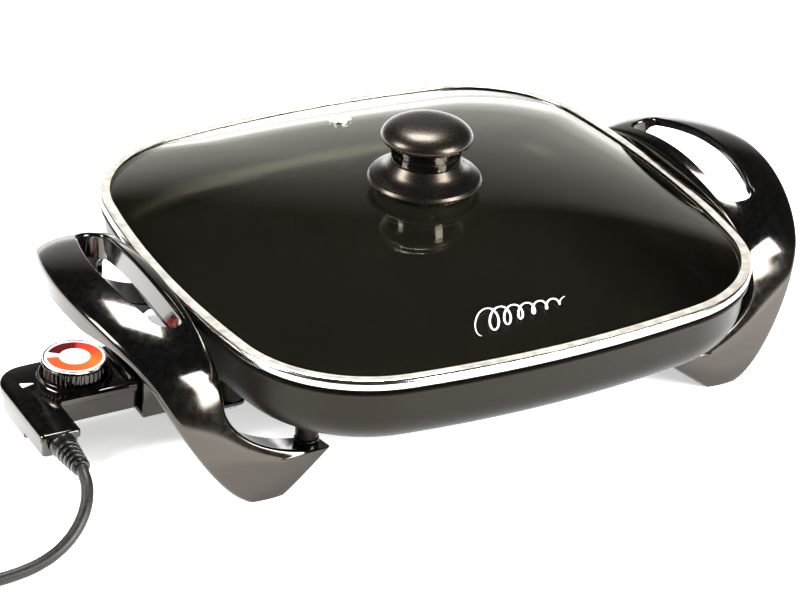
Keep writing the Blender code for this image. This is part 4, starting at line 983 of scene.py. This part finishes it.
def make_wing(name, side):
    shell = loft(f"{name}_shell", wing_rings(side))
    rim = slot_rim(shell, f"{name}_rim", side)
    hole = [(side * x, y) for x, y in slot_outline(1.2)]
    cut(shell, loft("slot_cutter", [level(hole, WING_TOP_Z - 40), level(hole, WING_TOP_Z + 20)]))
    pieces = [shell, rim]
    for y, label in ((-LEG_SCREW[1], "front"), (LEG_SCREW[1], "back")):
        low, high = LEG_PAD_Z
        corners = [(SCREW_BORE, low, 0.3), (PAD_RADIUS, low, 0.6), (PAD_RADIUS, high, 0.4), (SCREW_BORE, high, 0.3)]
        pieces.append(lathe(f"{name}_pad_{label}", corners, (side * LEG_SCREW[0], y, 0), steps=40))
    shell = join(pieces)
    complete(shell, GLOSS, "skillet", name, angle=30)


def slot_rim(shell, name, side):
    """The slot's wall, which rolls over into the crowned skin all round."""
    rolled = 1.9
    sections = [[] for _ in range(11)]
    bpy.context.view_layer.update()

    def skin_z(x, y):
        start = Vector(scaled((side * x, y, WING_TOP_Z + 30)))
        hit, place, _, _ = shell.ray_cast(start, Vector((0, 0, -1)))
        return place.z / MM if hit else WING_TOP_Z

    far = slot_outline(rolled)
    near = slot_outline(0.0)
    inside = slot_outline(2.6)
    halfway = (SLOT_OUTER + SLOT_INNER) / 2 - 6.0
    for (fx, fy), (nx, ny), (ix, iy) in zip(far, near, inside):
        top = skin_z(fx, fy) + 0.03
        deep = blend(SLOT_DEPTH + 3.0, 4.6, (nx - halfway) / 9.0)
        points = []
        for down, left in QUARTER:
            points.append((nx + (fx - nx) * left, ny + (fy - ny) * left, top - rolled * down))
        points.append((nx, ny, top - rolled - 1.4))
        points.append((nx, ny, top - deep))
        points.append((ix, iy, top - deep))
        points.append((ix, iy, top - 1.5))
        for section, (x, y, z) in zip(sections, points):
            section.append((side * x, y, z))
    return loft(name, sections, looped=True)


# ------------------------------------------------------------------ shroud and probe
def make_shroud():
    low, high = SHROUD_Z
    half = SHROUD_HALF_WIDTH

    def frame_ring(x, inset, radius):
        outline = rounded_box((-half + inset, low + inset), (half - inset, high - inset), radius, 6)
        return [(x, y, z) for y, z in outline]

    back, mouth = -SHROUD_BACK, -SHROUD_MOUTH
    shape = [(back, 1.2, 1.2), (back - 0.4, 0.4, 1.8), (back - 1.2, 0.0, 2.2), (mouth + 0.8, 0.0, 2.2)]
    shape += [(mouth + 0.2, 0.3, 2.0), (mouth, 0.9, 1.6), (mouth, 1.6, 1.2), (mouth + 0.6, 2.3, 0.8)]
    shape += [(mouth + 1.4, 2.4, 0.8), (back - 2.4, 2.4, 0.8)]
    shell = loft("shroud_guard", [frame_ring(*step) for step in shape])
    for y, radius in ((PIN_SPACING / 2, 5.3), (-PIN_SPACING / 2, 5.3), (0.0, 4.6)):
        cut(shell, bore("shroud_hole", radius, back - 8, back + 5, (0, y, PROBE_Z), "X"))
    tab = rounded([(-146.0, -33.0, 3.0), (-118.0, -33.0, 5.0), (-118.0, 33.0, 5.0), (-146.0, 33.0, 3.0)], 6)
    inset = rounded([(-145.6, -32.6, 3.0), (-118.4, -32.6, 5.0), (-118.4, 32.6, 5.0), (-145.6, 32.6, 3.0)], 6)
    plate = loft(
        "shroud_tab",
        [level(inset, low + 0.1), level(tab, low + 0.5), level(tab, low + 2.0), level(inset, low + 2.4)],
    )
    for y in (-SHROUD_SCREW[1], SHROUD_SCREW[1]):
        cut(plate, bore("tab_hole", SCREW_BORE, low - 3, low + 8, (-SHROUD_SCREW[0], y, 0)))
    complete(join([shell, plate]), GLOSS, "skillet", "socket_shroud", angle=32)


def housing_outline(inset):
    arm = ARM_HALF_WIDTH - inset
    far = -PROBE_REACH + inset
    leg_in = -PROBE_REACH + CORD_LEG_WIDTH - inset
    tip = -ARM_END - inset
    front = CORD_LEG_Y + inset
    corners = [
        (tip, -arm, 1.5), (tip, arm, 1.5), (far, arm, LOBE_RADIUS - inset), (far, front, 2.5), (leg_in, front, 2.0),
        (leg_in, -arm, 2.0),
    ]
    return rounded(corners, 10)


def make_housing():
    low, high = HOUSING_Z
    soft = 1.8
    rings = [level(housing_outline(0.35), PARTING_Z), level(housing_outline(0.0), PARTING_Z + 0.35)]
    rings += [level(housing_outline(soft * across), high - soft * down) for across, down in QUARTER]
    upper = loft("probe_shell_upper", rings)
    collar = lathe(
        "dial_collar",
        [(0, high - 1, 0), (21.0, high - 1, 0), (19.4, high + 0.4, 1.4), (18.6, high + 2.4, 0.6), (0, high + 2.4, 0)],
        (-DIAL_X, 0, 0),
        steps=96,
    )
    step = make_finger_stop(high)
    upper = join([upper, collar, step])
    complete(upper, GLOSS, "control_probe", "probe_housing_upper", angle=32)

    seam = PARTING_Z - GAP
    soft = 1.6
    rings = [level(housing_outline(LOWER_INSET + soft * across), low + soft * down) for across, down in QUARTER[::-1]]
    rings.append(level(housing_outline(LOWER_INSET), seam - 0.3))
    rings.append(level(housing_outline(LOWER_INSET + 0.3), seam))
    lower = loft("probe_shell_lower", rings)
    left, right = -PROBE_REACH - 5, -PROBE_REACH + CORD_LEG_WIDTH + 5
    front, back = CORD_LEG_Y - 5, -ARM_HALF_WIDTH - 2.5
    outline = [(left, front), (right, front), (right, back), (left, back)]
    cut(lower, loft("leg_trim", [level(outline, low - 5), level(outline, CORD_LEG_Z)]))
    complete(lower, GLOSS, "control_probe", "probe_housing_lower", angle=32)


def make_finger_stop(high):
    """A low ridge across the arm, next to the socket, with rolled ends."""
    rings = []
    half = ARM_HALF_WIDTH - 2.0
    ends = ((half, 0.0), (half - 0.8, 0.7), (half - 2.0, 1.0))
    for y, grow in [(-y, grow) for y, grow in ends] + [*reversed(ends)]:
        top = 0.4 + 1.8 * grow
        corners = [
            (-SHROUD_MOUTH - 5.6, high - 0.8, 0), (-SHROUD_MOUTH - 5.0, high + top, 0.4 + 0.6 * grow),
            (-SHROUD_MOUTH - 2.2, high + top, 0.4 + 0.6 * grow), (-SHROUD_MOUTH - 1.6, high - 0.8, 0),
        ]
        rings.append([(x, y, z) for x, z in rounded(corners, 4)])
    return loft("finger_stop", rings)


def make_relief():
    """A ribbed boot, wide at the housing and slender at its end, so the lead can't kink there."""
    y = CORD_LEG_Y
    corners = [
        (0.0, y + 6.0, 0), (3.2, y + 6.0, 0), (3.2, y - 0.2, 0), (6.6, y - 0.2, 0.3), (7.0, y - 1.0, 0.5),
        (7.0, y - 3.0, 1.2), (6.0, y - 4.6, 0.6),
    ]
    start = y - 6.0
    pitch = (start - RELIEF_END_Y - 1.0) / 5
    for k in range(5):
        top = start - k * pitch
        radius = 6.4 - 0.36 * k
        corners += [
            (radius - 1.5, top, 0.3), (radius - 1.5, top - pitch * 0.3, 0.3), (radius, top - pitch * 0.42, 0.4),
            (radius - 0.1, top - pitch * 0.92, 0.4),
        ]
    corners += [(4.4, RELIEF_END_Y + 0.7, 0.3), (4.1, RELIEF_END_Y, 0.3), (0.0, RELIEF_END_Y, 0)]
    boot = lathe("relief_boot", corners, (RELIEF_X, 0, RELIEF_Z), "Y", 64, 3)
    complete(boot, BOOT, "control_probe", "strain_relief")


def make_dial():
    z = DIAL_Z
    top = z + DIAL_HEIGHT
    steps = KNURLS * 8
    rings = []
    profile = [(-0.9, 0.0, 0.0), (-0.35, 0.1, 0.4), (0.0, 0.6, 1.0), (0.0, DIAL_HEIGHT - 1.4, 1.0)]
    profile += [(-0.05, DIAL_HEIGHT - 0.9, 0.3), (-0.25, DIAL_HEIGHT - 0.35, 0.0), (-0.7, DIAL_HEIGHT, 0.0)]
    for grow, height, depth in profile:
        ring = []
        for k in range(steps):
            angle = math.tau * k / steps
            wave = 0.5 - 0.5 * math.cos(angle * KNURLS)
            radius = DIAL_RADIUS + grow - KNURL_DEPTH * depth * wave**2
            ring.append((-DIAL_X + radius * math.cos(angle), radius * math.sin(angle), z + height))
        rings.append(ring)
    rim = loft("dial_rim", rings)
    complete(rim, GLOSS, "dial", "dial_knob")
    face = DIAL_FACE_RADIUS
    corners = [(0, top + GAP, 0), (face, top + GAP, 0), (face, top + 1.2, 0.3), (0, top + 1.3, 0)]
    disc = lathe("dial_print", corners, (-DIAL_X, 0, 0))
    complete(disc, DIAL_PRINT, "dial", "dial_face")
    low = top + GAP
    corners = [(face + GAP, low, 0), (face + 1.2, low, 0.1), (face + 1.0, low + 1.2, 0.3), (face + GAP, low + 1.2, 0.2)]
    bezel = lathe("dial_bezel", corners, (-DIAL_X, 0, 0), steps=128)
    complete(bezel, STEEL, "dial", "dial_trim_ring")


def make_pointer():
    """The wedge that marks the set heat: a clear lens let into the housing, its point towards the dial."""
    high = HOUSING_Z[1]
    tip = -DIAL_X - DIAL_COLLAR_RADIUS - 3.0
    back = tip - 7.5

    def wedge(inset):
        wide = back + inset
        return rounded([(tip - 2 * inset, 0.2, 0.2), (wide, -1.6 + inset, 0.3), (wide, 2.8 - inset, 0.3)], 3)

    rings = [level(wedge(0.0), high - 2.0), level(wedge(0.0), high + 0.1), level(wedge(0.25), high + 0.3)]
    lens = loft("probe_pointer", rings)
    complete(lens, LENS, "control_probe", "signal_lens")


make_pan()
make_lid()
make_wing("handle_left", -1)
make_wing("handle_right", 1)
make_shroud()
make_housing()
make_relief()
make_dial()
make_pointer()

# ------------------------------------------------------------------ finishes of the frame's own nodes
def both_ends(*stems):
    return [f"{stem}_{end}" for stem in stems for end in ("front", "back")]


SCREWED = ("handle_left_screw", "handle_right_screw", "shroud_screw", "housing_screw")
KEPT = {
    SHEATH: ["heating_element"],
    PLATED: ["thermostat_frame", "knob_screw", *both_ends("terminal_pin", *SCREWED)],
    STEATITE: both_ends("pin_insulator"),
    SILICONE: ["knob_washer"],
    STEEL: ["sensor_rod"],
    BRASS: ["contact_leaf", "dial_shaft", "plug_blade_inner", "plug_blade_outer", *both_ends("contact_sleeve")],
    BIMETAL: ["bimetal_strip"],
    GLASS: ["signal_lamp"],
}
for material, names in KEPT.items():
    for name in names:
        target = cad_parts[name]
        target.data.materials.clear()
        target.data.materials.append(material)


# ------------------------------------------------------------------ studio
FLOOR_GLOW = 0.45
FILL = 0.7  # white light on matt surfaces
BACKDROP = 1.2
SWEEP_TOWARDS = (0.375, 0.927, 0.0)
SWEEP_STRENGTH = 3.0
SWEEP = ((0.0, 1.0), (0.505, 1.0), (0.532, 0.25), (0.56, 0.05), (0.59, 0.0))
SWEEP_TAIL = ((0.5, 0.1), (0.587, 0.20), (0.638, 0.19), (0.695, 0.18), (0.757, 0.15), (0.82, 0.06), (0.88, 0.0))
ROOM_COLOURS = (
    (0.0, "#8c8676"), (0.5, "#8c8676"), (0.55, "#645f52"), (0.62, "#444036"), (0.75, "#22201b"), (1.0, "#1a1815"),
)


def make_floor():
    deselect()
    bpy.ops.mesh.primitive_plane_add(size=30.0)
    floor = bpy.context.object
    floor.name = "studio_floor"
    made, tree, shader = finish("white_paper", "#f7f7f7", 0.9, 0.0, Specular_IOR_Level=0.0)
    fibre = grain(tree, 30.0)
    tint(tree, shader, fibre, "#f6f6f6", "#f8f8f8")
    shader.inputs["Emission Color"].default_value = linear("#ffffff")
    shader.inputs["Emission Strength"].default_value = FLOOR_GLOW
    floor.data.materials.append(made)


def make_light(name, azimuth, elevation, distance, size, power, colour="#ffffff"):
    """A soft panel aimed at the skillet."""
    place = direction(math.radians(azimuth), math.radians(elevation)) * distance
    data = bpy.data.lights.new(name, "AREA")
    data.shape = "RECTANGLE"
    data.size, data.size_y = size
    data.energy = power
    data.color = linear(colour)[:3]
    light = placed(name, data)
    light.location = place
    light.rotation_mode = "QUATERNION"
    light.rotation_quaternion = place.to_track_quat("Z", "Y")
    light.visible_camera = False


def make_sky(strength):
    """A broad even light from above that leaves no highlight."""
    data = bpy.data.lights.new("sky_light", "SUN")
    data.energy = strength
    data.angle = math.radians(75)
    light = placed("sky_light", data)
    light.visible_camera = False
    light.visible_glossy = False
    light.visible_transmission = False


def linked(light_name, names, state):
    """Lets a light reach only the named pieces, or all but them."""
    group = bpy.data.collections.new(f"{light_name}_{state.lower()}")
    for name in names:
        group.objects.link(bpy.data.objects[name])
    for entry in group.collection_objects:
        entry.light_linking.link_state = state
    bpy.data.objects[light_name].light_linking.receiver_collection = group


def facing(tree, coords, low, high):
    """0 to 1 as a direction turns towards the sweep, behind the skillet."""
    behind = node(tree, "ShaderNodeVectorMath", {0: coords, 1: SWEEP_TOWARDS}, operation="DOT_PRODUCT")
    spread = node(tree, "ShaderNodeMapRange", {"Value": behind.outputs["Value"], "From Min": low, "From Max": high})
    return spread.outputs["Result"]


def make_world():
    """White behind everything for the camera. For all that shines: a dark room with a bright sweep low behind."""
    world = bpy.data.worlds.new("studio")
    bpy.context.scene.world = world
    world.use_nodes = True
    tree = world.node_tree
    tree.nodes.clear()
    coords = node(tree, "ShaderNodeTexCoord").outputs["Generated"]
    height = node(tree, "ShaderNodeSeparateXYZ", {"Vector": coords}).outputs["Z"]
    lifted = node(tree, "ShaderNodeMapRange", {"Value": height, "From Min": -1.0, "From Max": 1.0}).outputs["Result"]
    room = ramp(tree, lifted, [(place, linear(colour)) for place, colour in ROOM_COLOURS])
    wide = facing(tree, coords, 0.1, 0.6)
    narrow = facing(tree, coords, 0.84, 0.96)
    rim = maths(tree, "MULTIPLY", wide, ramp(tree, lifted, SWEEP))
    tail = maths(tree, "MULTIPLY", narrow, ramp(tree, lifted, SWEEP_TAIL))
    bright = maths(tree, "MULTIPLY", maths(tree, "ADD", rim, tail), SWEEP_STRENGTH)
    both = node(tree, "ShaderNodeMix", {0: 1.0, 6: room, 7: bright}, data_type="RGBA", blend_type="ADD").outputs[2]
    lit = ((both, 1.0), (linear("#ffffff"), FILL), (linear("#ffffff"), BACKDROP))
    dim, even, white = (
        node(tree, "ShaderNodeBackground", {"Color": colour, "Strength": strength}).outputs["Background"]
        for colour, strength in lit
    )
    rays = node(tree, "ShaderNodeLightPath").outputs
    mixed = node(tree, "ShaderNodeMixShader", {0: rays["Is Diffuse Ray"], 1: dim, 2: even}).outputs["Shader"]
    mixed = node(tree, "ShaderNodeMixShader", {0: rays["Is Camera Ray"], 1: mixed, 2: white}).outputs["Shader"]
    node(tree, "ShaderNodeOutputWorld", {"Surface": mixed})


make_floor()
make_world()
make_sky(1.5)
make_light("left_softbox", -105.0, 38.0, 1.7, (0.5, 0.8), 42.0)
make_light("front_softbox", 31.0, 28.0, 1.9, (0.8, 1.1), 95.0)
make_light("top_softbox", 158.0, 64.0, 2.0, (0.7, 0.6), 45.0)
linked("front_softbox", ["pan_body"], "EXCLUDE")
linked("top_softbox", ["lid_glass_dome"], "EXCLUDE")
make_light("pan_strip", 48.0, 50.0, 1.9, (2.2, 0.3), 130.0)
linked("pan_strip", ["pan_body", "lid_glass_dome"], "INCLUDE")
make_light("metal_panel", 150.0, 40.0, 2.0, (4.0, 2.6), 34.0, colour="#fffaf0")
linked("metal_panel", ["lid_steel_band", "vent_eyelet", "dial_bezel"], "INCLUDE")
bpy.context.scene.view_settings.view_transform = "Standard"
bpy.context.scene.view_settings.look = "None"
